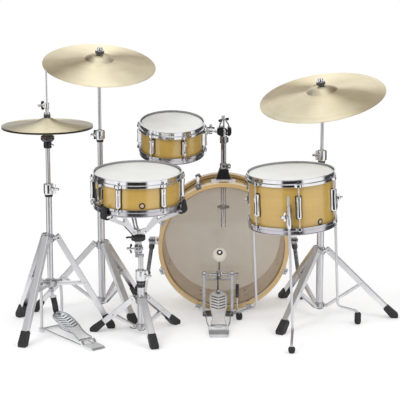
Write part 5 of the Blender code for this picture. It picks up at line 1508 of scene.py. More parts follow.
def buildCymbalStand(name):
    stand, cymbal = stands[name], cymbals[name]
    place = buildStandBase(name, stand)
    upright, head, plate = f"{name}_upright", f"{name}_tilt_head", f"{name}_plate"
    hinge = pivot(f"{name}_tilt")
    low, high = cymbal["clamp"]
    form = tilterForm
    foot = stand["top"] - .165
    piece(f"{name}MiddleTube", pipe(form["middle"], .0016, foot, low + .008), tubeChrome, upright, place,
        replaces=f"{name}_post", slot="chrome")
    piece(f"{name}ThinTube", pipe(form["thin"], .0014, low, hinge.z - .026, 32), tubeChrome, upright, place,
        slot="chrome")
    clampPieces(f"{name}Post", upright, place, form["middle"], low, high, -90, .04, .018)
    cheekLeft = spindle([(form["cheek"], 0), (form["cheek"], .0095), (.0105, .0118)], (-.0004, 0, hinge.z),
        (-.0124, 0, hinge.z), 40, .0008)
    teeth = []
    for i in range(24):
        angle = 2 * pi * i / 24
        centre = Vector((-.0006, .0104 * cos(angle), hinge.z + .0104 * sin(angle)))
        teeth.append(moved(block((-.0006, -.0006, -.0018), (.0006, .0006, .0018), .0001),
            at(centre) @ Matrix.Rotation(pi / 2 - angle, 4, "X")))
    neck = turned(offset([(.0082, -.034), (.0094, -.029), (.0094, -.014), (.007, -.0105)], 0, hinge.z), 36,
        .0012, 3)
    piece(f"{name}TilterBase", [cheekLeft, *teeth, moved(neck, shift(-.0005, 0, 0))], chrome, upright, place,
        edge=.0004)
    tilt = tilted(hinge, cymbal["lean"], cymbal["roll"])
    cheekRight = spindle([(form["cheek"], 0), (form["cheek"], .0095), (.0105, .0112)], (.0014, 0, 0),
        (.0128, 0, 0), 40, .0008)
    knuckle = block((.0032, -.0055, .005), (.0112, .0055, .0205), .002)
    stem = turned([(.0085, .0162), (.0085, .024), (.0062, .027), (.0062, .03)], 32, .001)
    piece(f"{name}TilterHead", [cheekRight, knuckle, stem], chrome, head, tilt, edge=.0005,
        replaces=f"{name}_tilter", slot="chrome")
    seat = form["seat"]
    cup = turned([(.0088, .0285), (.015, seat - .0108), (.015, seat - .0092)], 36, .001)
    sleeve = turned([(.0052, seat - .01), (.0052, seat + .01)], 24)
    piece(f"{name}SeatCup", [cup, sleeve], blackNylon, head, tilt, slot="dark_steel")
    piece(f"{name}Felts", stackShapes(seat + .0022), blackFelt, head, tilt)
    thread = bar((0, 0, .028), (0, 0, seat + .0385), .003, 14)
    washer = bar((0, 0, seat + .0224), (0, 0, seat + .024), .0165, 32, .0004)
    piece(f"{name}Stud", [thread, washer], chrome, head, tilt)
    piece(f"{name}WingNut", placedAll(wingShapes(.0095, .034, .0125, .0115, tip=.001),
        shift(0, 0, seat + .024) @ turn(25) @ turn(-90, "Y")), chrome, head, tilt, edge=.0005)
    rim = seat + .004 + .0018 - cymbal["bow"] - cymbal["bellHeight"]
    slope = degrees(atan2(cymbal["roll"], cymbal["lean"]))
    piece(f"{name}Cymbal", cymbalShape(cymbal), bronze, plate, tilt @ shift(0, 0, rim - .0003) @ turn(slope),
          replaces=f"{name}_cymbal", slot="cymbal_brass")


buildCymbalStand("crash")
buildCymbalStand("ride")
print("cymbal stands ready")


# Snare stand: post, tilter, basket with its clamp knob, arms and rubber tips

snareStand = {
    "post": .0097, "ring": (.195, .21), "azimuths": (-42, 78, 198), "head": .3085, "lean": 3.3,
    "cheek": .0185,
}


def buildSnareStand():
    stand, form = stands["snare"], snareStand
    place = buildStandBase("snare", stand)
    low, high = form["ring"]
    piece("snareStandRing", lathe([(stand["tube"] - .0006, low), (.0168, low), (.017, high),
        (stand["tube"] - .0006, high)], 40, .0018, 3), blackNylon, "kit", place)
    hinge = pivot("snare_tilt")
    aside = hinge.x - place.translation.x
    piece("snarePostTube", pipe(form["post"], .0016, .121, hinge.z - .026), tubeChrome, "snare_post", place,
        replaces="snare_stand_post", slot="chrome")
    tilt = at(hinge)
    cup = spindle([(.0125, 0), (.013, .01), (.011, .0125)], (-aside, 0, -.034), (-aside, 0, -.0215), 36,
        .0014, 3)
    bridge = block((-.0128, -.011, -.033), (.0125 - aside, .011, -.0222), .003)
    cheek = spindle(offset([(0, 0), (0, .01), (-.003, .0142)], form["cheek"]), (-.0006, 0, 0),
        (-.0148, 0, 0), 44, .0012, 3)
    piece("snareTilterBase", [cup, bridge, cheek, block((-.0125, -.01, -.028), (-.002, .01, -.008), .002)],
        castMetal, "snare_post", tilt, edge=.0007)
    bolt = wingShapes(.038, .04, .015, .007, .0042, tip=0)
    piece("snareTilterWing", alongAll(bolt, -90), chrome, "snare_post", tilt @ shift(-.004, 0, 0),
        edge=.0005)
    basket = tilted(hinge, form["lean"])
    right = spindle(offset([(0, 0), (0, .01), (-.003, .014)], form["cheek"]), (.0012, 0, 0), (.015, 0, 0),
        44, .0012, 3)
    boltHead = spindle([(.007, 0), (.0064, .004), (0, .0044)], (.0146, 0, 0), (.0192, 0, 0), 6, .0008)
    stem = block((.0024, -.0085, .006), (.0124, .0085, .04), .003)
    core = turned([(.01, .0185), (.0118, .023), (.0118, .0345)], 36, .001)
    onBasket = "snare_basket", basket
    piece("snareTilterHead", [right, boltHead, stem, core], castMetal, *onBasket, edge=.0007,
        replaces="snare_stand_basket", slot="chrome")

    def lobes(angle, radius, height):
        return radius * (1 + .045 * cos(9 * angle)) if radius > .02 else radius, height

    piece("snareBasketKnob", lathe([(0, .0345), (.0245, .0345), (.0272, .0375), (.0272, .053), (.0235, .058),
        (0, .059)], 108, .0022, 4, warp=lobes), blackNylon, *onBasket, edge=.0003)
    piece("snareBasketLever", sweep(spline([(-.02, 0, .045), (-.03, 0, .0462), (-.04, 0, .0462),
        (-.047, 0, .044)], 5), 1, section=[(cos(a) * .0036, sin(a) * .005)
        for a in [2 * pi * i / 14 for i in range(14)]]), blackNylon, *onBasket)
    piece("snareBasketHub", turned([(0, .0585), (.0135, .059), (.0148, .063), (.0148, .076), (.012, .079)],
        40, .0012, 3), castMetal, *onBasket)
    drum = drums["snare"]
    hoopFoot = form["head"] - drum["depth"] - drumForm["hoopTop"]
    reach = drum["radius"] + drum["reach"]
    arms, pins, tips, cores = [], [], [], []
    for azimuth in form["azimuths"]:
        outline = softened([(.006, .062), (.03, .0615), (.076, hoopFoot - .066),
            (reach - .006, hoopFoot - .02), (reach + .0025, hoopFoot - .0165),
            (reach + .002, hoopFoot - .005), (reach - .012, hoopFoot - .0085), (.072, hoopFoot - .026),
            (.03, .086), (.006, .078)], .006, 4)
        holes = [softened(offset([(.078, -.05), (.124, -.027), (.118, -.0205), (.076, -.036)], 0, hoopFoot),
            .003, 3)]
        for side in (-1, 1):
            arms.append(along(slab(outline, side * .0058 - .0009, side * .0058 + .0009, holes=holes),
                azimuth))
        pins += alongAll(boltAcross(.03, .072, .007, .005), azimuth)
        pins += alongAll(boltAcross(reach - .014, hoopFoot - .014, .007, .004), azimuth)
        tip = softened(offset([(-.028, -.0165), (.002, -.0215), (.019, -.013), (.0225, -.004), (.0135, .036),
            (.006, .036), (.0016, .022), (.0016, -.0008), (-.024, -.0008), (-.028, -.006)], reach, hoopFoot),
            .004, 4)
        tips.append(along(slab(tip, -.0092, .0092), azimuth))
        for rib in range(3):
            height = hoopFoot + .002 + rib * .009
            out = .0222 - rib * .002
            tips.append(along(block((reach + .0105, -.0086, height), (reach + out, .0086, height + .003),
                .001), azimuth))
        cores.append(along(block((reach - .02, -.0098, hoopFoot - .013),
            (reach + .004, .0098, hoopFoot - .005), .003), azimuth))
    piece("snareBasketArms", arms, pressedSteel, *onBasket, edge=.0004, slot="chrome")
    piece("snareBasketPins", pins + cores, chrome, *onBasket)
    piece("snareBasketTips", tips, rubber, *onBasket, edge=.0016)


# Snare strainer, butt plate, wires and their straps

strainer = {"azimuth": -53, "hinge": (.0185, -.088), "wires": 20, "wireRadius": .0011}


def buildStrainer():
    drum = drums["snare"]
    place, radius, depth = drumPlace(drum), drum["radius"], drum["depth"]
    azimuth = strainer["azimuth"]
    hingeOut, hingeUp = strainer["hinge"]
    plate = patch(rectangle(.014, -.098, -.026), radius - .002, radius + .0042, .006)
    slide = patch(rectangle(.0095, -.094, -.036), radius + .003, radius + .0105, .003, 3)
    cheeks = [block((radius + .003, side * .0105 - .0012, -.0965),
        (radius + hingeOut + .0045, side * .0105 + .0012, -.079), .003) for side in (-1, 1)]
    screw = outwards([(.0032, radius + .004), (.0028, radius + .0062), (0, radius + .0066)], 16, .0005)
    screws = [moved(screw, shift(0, 0, height)) for height in (-.031, -.0935)]
    knob = turned([(.0062, -.03), (.0068, -.0215), (.005, -.019)], 18, .001)
    onBasket = "snare_basket", place
    piece("snareStrainerPlate", [along(shape, azimuth) for shape in (plate, slide, *cheeks, *screws)]
        + [along(knob, azimuth, radius + .0085)], chrome, *onBasket, edge=.0006)
    base = facing(azimuth) @ shift(radius + hingeOut, 0, hingeUp)
    barrel = bar((0, -.01, 0), (0, .01, 0), .0054, 28, .0008)
    arm = slab([(-.0042, -.001), (.0046, -.002), (.0088, .03), (.0108, .05), (.005, .054), (.002, .03)],
        -.0066, .0066, .004)
    piece("snareStrainerArm", [barrel, arm], chrome, "strainer_lever", place @ base, edge=.0012,
        replaces="snare_strainer_lever", slot="chrome")
    butt = patch(rectangle(.012, -.098, -.062), radius - .002, radius + .0046, .004)
    clampBar = patch(rectangle(.0095, -.094, -.076), radius + .004, radius + .0095, .003, 3)
    heads = [along(moved(screws[0], shift(.004, y, -.054)), azimuth + 180) for y in (-.0055, .0055)]
    piece("snareButtPlate", [along(butt, azimuth + 180), along(clampBar, azimuth + 180), *heads], chrome,
        *onBasket, edge=.0006)
    # Wires under the lower head run from the strainer to the butt plate.
    under = -depth - .0012
    reach = radius - .03
    span = .04
    wires = []
    for i in range(strainer["wires"]):
        across = (i / (strainer["wires"] - 1) - .5) * span
        route = [(-reach + 2 * reach * step / 60, across + .0002 * cos(step * 2.1),
            under - .0012 + .0003 * sin(step * 2.1)) for step in range(61)]
        wires.append(moved(sweep(route, strainer["wireRadius"] * .75, 6), facing(azimuth)))
    piece("snareWires", wires, pressedSteel, *onBasket)
    plates = []
    for side in (-1, 1):
        x = side * reach
        plates.append(along(block((min(x, x + side * .012), -span / 2 - .002, under - .0022),
            (max(x, x + side * .012), span / 2 + .002, under - .0008), .001), azimuth))
    piece("snareWirePlates", plates, pressedSteel, *onBasket, edge=.0003)
    tapes = []
    for side, top in ((1, -.088), (-1, -.08)):
        route = [(side * (reach + .004), 0, under - .0014), (side * (radius - .006), 0, under - .0016),
            (side * (radius + .0012), 0, under + .004), (side * (radius + .0016), 0, top)]
        tapes.append(moved(sweep(softened(route, .005, 4, closed=False), 1,
            section=[(.0003, -.008), (.0003, .008), (-.0003, .008), (-.0003, -.008)], side=(0, 0, 1)),
            facing(azimuth)))
    piece("snareTapes", tapes, blackNylon, *onBasket)


buildSnareStand()
buildStrainer()
print("snare stand ready")


# Rack tom's bracket: a plate on the shell, a split eye round the holder's rod, and its wing bolt

def buildTomBracket():
    drum = drums["rackTom"]
    place = drumPlace(drum)
    shellRight = place @ Vector((drum["radius"], 0, 0))
    centre = pivot("tom_tilt")
    eyeAt = at((shellRight.x, centre.y, centre.z))
    across = moved(lathe([(.0056, .012), (.019, .012), (.019, .0165), (.0125, .0205), (.0115, .025),
        (.0135, .0275), (.0135, .0375), (.0115, .039), (.0056, .039)], 44, .0012, 3), turn(90, "Y"))
    plate = slab([(-.002, -.03), (.006, -.03), (.014, -.019), (.014, .019), (.006, .03), (-.002, .03)],
        -.019, .019, .004, 3)
    piece("tomBracket", [across, plate], chrome, "rack_tom", eyeAt, edge=.0008)
    piece("tomBracketWing", placedAll(wingShapes(.026, .034, .014, .0062, tip=.01),
        shift(.0325, 0, 0) @ turn(-90, "Y")), chrome, "rack_tom", eyeAt, edge=.0005)


# Floor tom legs: bent rods in cast brackets, each held by a wing bolt

floorLegs = {
    "azimuths": (-7, 113, -127), "tops": (-.055, -.06, -.06), "rod": .005, "out": .024, "bend": -.577,
    "footOut": .114, "bracket": (-.178, -.092), "foot": .0134, "wingTurn": (-62, -4, 50),
}


def buildFloorLegs():
    drum, form = drums["floorTom"], floorLegs
    place, radius = drumPlace(drum), drum["radius"]
    low, high = form["bracket"]
    for number, (azimuth, top, wingTurn) in enumerate(zip(form["azimuths"], form["tops"], form["wingTurn"]),
            1):
        outline = [(0, .52), (.06, .8), (.2, 1), (.38, .96), (.56, .74), (.8, .56), (.94, .62), (1, .46)]
        rings = []
        for share, wide in outline:
            height = low + (high - low) * share
            ring = []
            for i in range(20):
                angle = pi * i / 19
                across = cos(angle) * .014 * wide
                out = -.002 + (form["out"] + .013 * (.55 + .45 * wide)) * sin(angle) ** .55
                ring.append((out, across, height))
            rings.append(ring)
        bracket = moved(loft(rings), shift(radius, 0, 0))
        gasket = patch([(-.0135, low - .0015), (.0135, low - .0015), (.0085, high + .002),
            (-.0085, high + .002)], radius - .001, radius + .0014, .006)
        piece(f"floorLegBracket{number}", along(bracket, azimuth), satinChrome, "kit", place, slot="chrome")
        piece(f"floorLegGasket{number}", along(gasket, azimuth), blackNylon, "kit", place)
        boltAt = facing(azimuth) @ shift(radius + form["out"], 0, low + .048)
        piece(f"floorLegWing{number}", placedAll(wingShapes(.03, .036, .014, .0066, .0036, tip=.006),
            boltAt @ turn(wingTurn)), chrome, "kit", place, edge=.0005)
        piece(f"floorLegWasher{number}", moved(outwards([(.0062, .0115), (.0062, .015)], 24, .0005),
            boltAt @ turn(wingTurn)), blackNylon, "kit", place)
        legPlace = place @ facing(azimuth) @ shift(radius + form["out"], 0, 0)
        reach = form["footOut"] - form["out"]
        bend = form["bend"]
        route = softened([(0, 0, top), (0, 0, bend), (reach - .002, 0, bend - .036),
            (reach, 0, bend - .062)], .016, 6, closed=False)
        rod = sweep(route, form["rod"], 20)
        dome = spindle([(form["rod"], 0), (form["rod"] * .8, .003), (form["rod"] * .4, .0044), (0, .0048)],
            (0, 0, top - .0002), (0, 0, top + .004), 20)
        piece(f"floorLeg{number}", [rod, dome], tubeChrome, f"floor_leg_{number}", legPlace,
            replaces=f"floor_tom_leg_{number}", slot="chrome")
        end = legPlace @ Vector(route[-1])
        foot = form["foot"]
        cap = turned([(foot * .74, .0003), (foot * .98, .0075), (foot, end.z + .012),
            (foot * .88, end.z + .019), (form["rod"] + .0012, end.z + .0205)], 40, .004, 5)
        groove = [lathe([(foot * .9, h), (foot + .0006, h), (foot + .0006, h + .0022),
            (foot * .9, h + .0022)], 40, .0007) for h in (.011, .0165)]
        piece(f"floorFoot{number}", [cap, *groove], rubber, f"floor_leg_{number}", at((end.x, end.y, 0)))


buildTomBracket()
buildFloorLegs()
print("tom bracket and floor tom legs ready")


# Footboards: a cast plate with chevron slots, a ringed hole and raised sides, hinged on a heel plate

boardForm = {
    "half": .0026, "slots": 6, "slotStep": .0162, "slotFrom": .096, "slotWidth": .0062, "ring": .0105,
}


def boardPlace(hinge, azimuth, toe):
    ahead = Vector((toe[0], 0, toe[1])).normalized()
    up = Vector((ahead.z, 0, -ahead.x))
    frameOf = Matrix(((ahead.x, up.x, 0), (0, 0, 1), (ahead.z, up.z, 0))).to_4x4()
    return at(hinge) @ facing(azimuth) @ frameOf


def boardOutline(length, heelHalf, wideHalf, toeHalf):
    half = [(.006, heelHalf), (length * .06, heelHalf), (length * .17, heelHalf * .8),
        (length * .3, heelHalf * .8), (length * .52, wideHalf * .93), (length * .8, wideHalf),
        (length * .905, wideHalf * .86), (length * .955, toeHalf), (length, toeHalf * .72)]
    return softened(half + [(x, -y) for x, y in reversed(half)], .01, 5)


def chevronHoles(length, wideHalf):
    form = boardForm
    holes = []
    for i in range(form["slots"]):
        start = form["slotFrom"] + i * form["slotStep"]
        if start > length * .83:
            break
        reach = wideHalf * .78 - max(0, (start - length * .74)) * .3
        for side in (-1, 1):
            slot = [(start, side * .0016), (start + reach * .42, side * reach),
                (start + reach * .42 + form["slotWidth"], side * reach),
                (start + form["slotWidth"], side * .0016)]
            holes.append(softened(slot if side > 0 else slot[::-1], .001, 2))
    return holes


def buildBoard(name, body, node, hinge, azimuth, toe, halves, pinHalf):
    length = hypot(*toe)
    heelHalf, wideHalf, toeHalf = halves
    place = boardPlace(hinge, azimuth, toe)
    outline = boardOutline(length, heelHalf, wideHalf, toeHalf)
    ringAt = length * .905
    holes = chevronHoles(length, wideHalf)
    holes.append(circle(ringAt, 0, boardForm["ring"] * .62, 24))
    half = boardForm["half"]
    piece(f"{name}Board", slab(outline, -half, half * .9, holes=holes), pedalAluminium, body, place,
        edge=.0007, replaces=node, slot="pedal_aluminium")
    # Raised sides follow the outline, a ring stands round the hole, and bars stand between the slots.
    count = len(outline)
    centre = Vector((length * .5, 0))
    profile = [(0, -half * .8), (0, half * 1.9), (.0026, half * 1.9), (.0032, half * .6)]
    rings = []
    for i, point in enumerate(outline):
        here = Vector(point)
        ahead = (Vector(outline[(i + 1) % count]) - Vector(outline[i - 1])).normalized()
        inward = Vector((-ahead.y, ahead.x))
        if inward.dot(centre - here) < 0:
            inward = -inward
        ring = [(here + inward * share, height) for share, height in profile]
        rings.append([Vector((edge.x, height, edge.y)) for edge, height in ring])
    rim = loft(rings + rings[:1], capped=False)
    eye = moved(lathe([(boardForm["ring"] * .56, -half), (boardForm["ring"], -half),
        (boardForm["ring"] * .94, half * 1.9), (boardForm["ring"] * .62, half * 1.9)], 36, .0008, 3),
        shift(ringAt, 0, 0) @ turn(-90, "X"))
    piece(f"{name}BoardRim", [rim, eye], fleshAluminium, body, place)
    dark = moved(turned([(boardForm["ring"] * .6, -half * .2), (boardForm["ring"] * .6, half * .2)], 28),
        shift(ringAt, 0, 0) @ turn(-90, "X"))
    under = slab([(length * .38, -wideHalf * .76), (length * .86, -wideHalf * .8),
        (length * .86, wideHalf * .8), (length * .38, wideHalf * .76)], -half * 1.25, -half * .75, .008)
    piece(f"{name}BoardUnder", [dark, under], blackNylon, body, place)
    knuckle = bar((0, 0, -heelHalf * .42), (0, 0, heelHalf * .42), .0046, 24)
    web = slab([(0, -heelHalf * .4), (.016, -heelHalf * .4), (.016, heelHalf * .4), (0, heelHalf * .4)],
        -half * 1.2, half * .6, .001, 2)
    rib = block((length * .12, -.0085, -.0012), (length * .9, -half * .6, .0012), .001)
    pin = bar((0, 0, -pinHalf), (0, 0, pinHalf), .0026, 16)
    piece(f"{name}BoardHinge", [knuckle, web, rib, pin], pedalAluminium, body, place, edge=.0004)
    return place, length


# Heel plate: a low cast block with a sloped back, ribs across its top and two hinge ears.
def heelShapes(near, far, half, top, ear):
    outline = softened([(near, .0005), (far - .002, .0005), (far, .003), (far - .01, top),
        (near + .006, top), (near, top - .003)], .002, 3)
    body = slab(outline, -half, half)
    points = []
    for point in body[0]:
        share = max(0, (point.x - far + .024) / .024)
        points.append(Vector((point.x, point.y * (1 - .2 * share * share), point.z)))
    shapes = [(points, body[1])]
    for i in range(5):
        x = near + .018 + i * (far - near - .036) / 4
        shapes.append(block((x - .0016, -half * .8, top - .001), (x + .0016, half * .8, top + .0012), .0008))
    for side in (-1, 1):
        y = side * (half - .006)
        shapes.append(slab(offset([(-.0055, ear - .004), (-.0055, ear + .0045), (.001, ear + .005),
            (.016, top), (.01, .003)], near), y - .0055, y + .0055, .003, 3))
    return shapes


# Hi-hat: stand, casting, frame, footboard, tubes, clutch and cymbals

hihat = {
    "azimuth": 38, "tube": .0086, "tubeTop": .744, "hingeOut": .25, "hingeUp": .02, "toe": (.038, .083),
    "rim": .8285, "lowRim": .8205, "rod": .003, "rodTop": 1.045, "clutch": (.8745, .9185),
}


def buildHihatFrame():
    stand, form = stands["hihat"], hihat
    buildStandBase("hihat", stand)
    centre, _, _ = standLayout(stand)
    place = at(centre) @ facing(form["azimuth"])
    yokeOutline = softened([(-.049, .187), (-.032, .184), (-.018, .181), (.018, .181), (.032, .184),
        (.049, .187), (.0515, .197), (.049, .2085), (.032, .206), (.02, .211), (-.02, .211), (-.032, .206),
        (-.049, .2085), (-.0515, .197)], .005, 4)
    holes = [softened([(side * .026, .19), (side * .04, .1915), (side * .04, .201), (side * .026, .2005)],
        .002, 3) for side in (-1, 1)]
    yoke = moved(slab(yokeOutline, -.0075, .0075, holes=holes), turn(90))
    sleeve = lathe([(.0118, .1805), (.0215, .1805), (.0235, .186), (.0235, .205), (.02, .2115),
        (.0118, .2115)], 48, .0016, 3)
    onKit = "kit", place
    piece("hihatYoke", [yoke, sleeve], castMetal, *onKit, edge=.0012, slot="chrome")
    posts = []
    for side in (-1, 1):
        route = spline([(0, side * .0455, .2), (.003, side * .047, .15), (.004, side * .0475, .1),
            (.003, side * .0472, .05), (0, side * .047, .0075)], 5)
        posts.append(sweep(route, .006, 18))
    feet = [block((-.01, side * .0475 - .0068, .0006), (.012, side * .0475 + .0068, .02), .004)
        for side in (-1, 1)]
    cross = bar((0, -.047, .0122), (0, .047, .0122), .0072, 28)
    bolts = []
    for side in (-1, 1):
        bolts.append(spindle([(.0052, 0), (.0046, .0026), (0, .003)], (0, side * .0538, .0122),
            (0, side * .057, .0122), 6, .0006))
    piece("hihatPosts", posts, tubeChrome, *onKit, slot="chrome")
    piece("hihatFrameFoot", feet + [cross], pressedSteel, *onKit, edge=.0006, slot="chrome")
    piece("hihatHeelPlate", heelShapes(form["hingeOut"] + .008, .3375, .0335, .0108, form["hingeUp"]),
        pedalAluminium, *onKit, edge=.0008, slot="pedal_aluminium")
    wires = []
    for side in (-1, 1):
        wires.append(sweep(spline([(.003, side * .03, .012), (.03, side * .028, .0078),
            (.14, side * .0262, .0062), (.264, side * .0262, .0056)], 6), .0027, 12))
    piece("hihatSideWires", wires, chrome, *onKit)
    piece("hihatFrameBolts", bolts, chrome, *onKit)
    toe = (form["toe"][0] - form["hingeOut"], form["toe"][1] - form["hingeUp"])
    hinge = pivot("hihat_press")
    board, length = buildBoard("hihat", "hihat_board", "hihat_footboard", hinge, form["azimuth"], toe,
        (.032, .0385, .018), .033)
    plates = [slab(offset([(-.016, -.0105), (.001, -.0105), (.001, .0105), (-.016, .0105)], length), .0024,
        .005, .002, 2)]
    screw = [moved(outwards([(.0032, 0), (.0028, .0022), (0, .0026)], 16, .0004),
        shift(length - .008, .0046, y) @ turn(90)) for y in (-.005, .005)]
    piece("hihatStrapPlate", plates + screw, chrome, "hihat_board", board, edge=.0004)
    low, high = Vector((form["toe"][0] - .003, 0, form["toe"][1] + .006)), Vector((.0075, 0, .166))
    top = low.lerp(high, .7)
    piece("hihatStrap", sweep(spline([low + Vector((.01, 0, -.004)), low,
        low.lerp(top, .5) + Vector((.002, 0, 0)), top], 5), 1,
        section=[(.0013, -.013), (.0013, .013), (-.0013, .013), (-.0013, -.013)], side=(1, 0, .4)),
        blackNylon, "hihat_rod", place, edge=.0004)
    # A steel link joins the strap's clamp to the rod.
    upward = (high - top).normalized()
    link = sweep([top - upward * .006, high + upward * .004], 1,
        section=[(.0014, -.0065), (.0014, .0065), (-.0014, .0065), (-.0014, -.0065)], side=(1, 0, .4))
    jaw = sweep([top - upward * .005, top + upward * .005], 1,
        section=[(.0034, -.0142), (.0034, .0142), (-.0034, .0142), (-.0034, -.0142)], side=(1, 0, .4))
    rodEnd = block((-.005, -.0075, .16), (.011, .0075, .1745), .002)
    rivet = spindle([(.0034, 0), (.003, .0018), (0, .0022)], (.0108, 0, .167), (.0136, 0, .167), 16, .0004)
    piece("hihatStrapLink", [link, jaw, rodEnd, rivet], darkChrome, "hihat_rod", place, edge=.0005)


def buildHihatTop():
    stand, form, cymbal = stands["hihat"], hihat, cymbals["hihat"]
    centre, _, _ = standLayout(stand)
    place = at(centre)
    tube = pipe(form["tube"], .0037, .402, form["tubeTop"], 44)
    onTube = "hihat_tube", place
    piece("hihatUpperTube", tube, tubeChrome, *onTube, replaces="hihat_upper_tube", slot="chrome")
    neck = lathe([(.0049, .74), (.015, .74), (.0154, .744), (.0154, .761), (.014, .7655), (.0049, .7655)],
        44, .0014, 3)
    ribs = [along(block((.0146, -.0011, .7445), (.0162, .0011, .7605), .0006), 360 * i / 16)
        for i in range(16)]
    piece("hihatSeatNeck", [neck, *ribs], blackNylon, *onTube)
    piece("hihatSeatScrew", alongAll(wingShapes(.026, .018, .008, .004, .0026, tip=.012), 60, 0, .753),
        chrome, *onTube, edge=.0004)
    cup = lathe([(.0049, .765), (.018, .765), (.0215, .768), (.0258, .774), (.0264, .7785), (.025, .78),
        (.0049, .78)], 60, .0014, 3)
    flutes = [along(block((.025, -.0016, .7742), (.0269, .0016, .7786), .0006), 360 * i / 28)
        for i in range(28)]
    piece("hihatSeatCup", [cup, *flutes], darkCast, *onTube, slot="dark_steel")
    piece("hihatSeatFelt", lathe([(.0049, .7798), (.0258, .7798), (.0266, .783), (.0258, .7878),
        (.0049, .7882)], 60, .0016, 3), brownFelt, *onTube)
    # The lower cymbal's bronze is painted dark, as painted shadow under the top cymbal.
    under = shift(0, 0, form["lowRim"]) @ turn(180, "X")
    piece("hihatLowCymbal", cymbalShape(cymbal), shadowedLowBronze, "hihat_tube", place @ under,
        replaces="hihat_bottom_cymbal", slot="cymbal_brass")
    # The top cymbal's bronze is a dimmed copy, as painted shade.
    over = shift(0, 0, form["rim"] + .0004)
    piece("hihatTopCymbal", cymbalShape(cymbal), dimmedHatBronze, "hihat_rod", place @ over,
        replaces="hihat_top_cymbal", slot="cymbal_brass")
    rod = bar((0, 0, .169), (0, 0, form["rodTop"]), form["rod"], 16, .001)
    onRod = "hihat_rod", place
    piece("hihatPullRod", rod, tubeChrome, *onRod, replaces="hihat_pull_rod", slot="chrome")
    low, high = form["clutch"]
    hole = form["rim"] + cymbal["bow"] + cymbal["bellHeight"]
    nut = lathe(offset([(.0032, -.0176), (.01, -.0176), (.0124, -.015), (.0124, -.008), (.011, -.0062),
        (.0032, -.0062)], 0, hole), 36, .0008)
    lowFelt = lathe(offset([(.005, -.0062), (.0128, -.0062), (.0136, -.0035), (.0126, -.0006),
        (.005, -.0006)], 0, hole), 36, .0012, 3)
    highFelt = lathe(offset([(.005, .0006), (.0132, .0006), (.0139, .006), (.0132, .0118), (.005, .0118)], 0,
        hole), 36, .0016, 3)
    piece("hihatClutchFelts", [lowFelt, highFelt], blackFelt, *onRod)
    lockNut = lathe(offset([(.0032, .012), (.0112, .012), (.0118, .014), (.0118, .0185), (.0098, .0205),
        (.0032, .0205)], 0, hole), 36, .001)
    barrel = lathe([(.0032, low + .004), (.0066, low + .004), (.0072, high - .024), (.0088, high - .022),
        (.0088, high - .002), (.007, high), (.0032, high)], 36, .001, 3)
    knurls = [along(block((.0112, -.0007, hole + .0136), (.0124, .0007, hole + .0188), .0003), 360 * i / 24)
        for i in range(24)]
    piece("hihatClutch", [nut, lockNut, barrel, *knurls], chrome, *onRod, slot="chrome")
    piece("hihatClutchWing", alongAll(wingShapes(.032, .036, .019, .006, tip=.006), -95, 0, high - .011),
        chrome, *onRod, edge=.0005)


buildHihatFrame()
buildHihatTop()
print("hi-hat ready")


# Bass drum pedal

pedal = {
    "axle": .172, "post": .0577, "hingeOut": .235, "hingeUp": .02, "toe": (.046, .118), "back": 52,
    "felt": (.027, .178, .222), "spring": (.079, -.003),
}


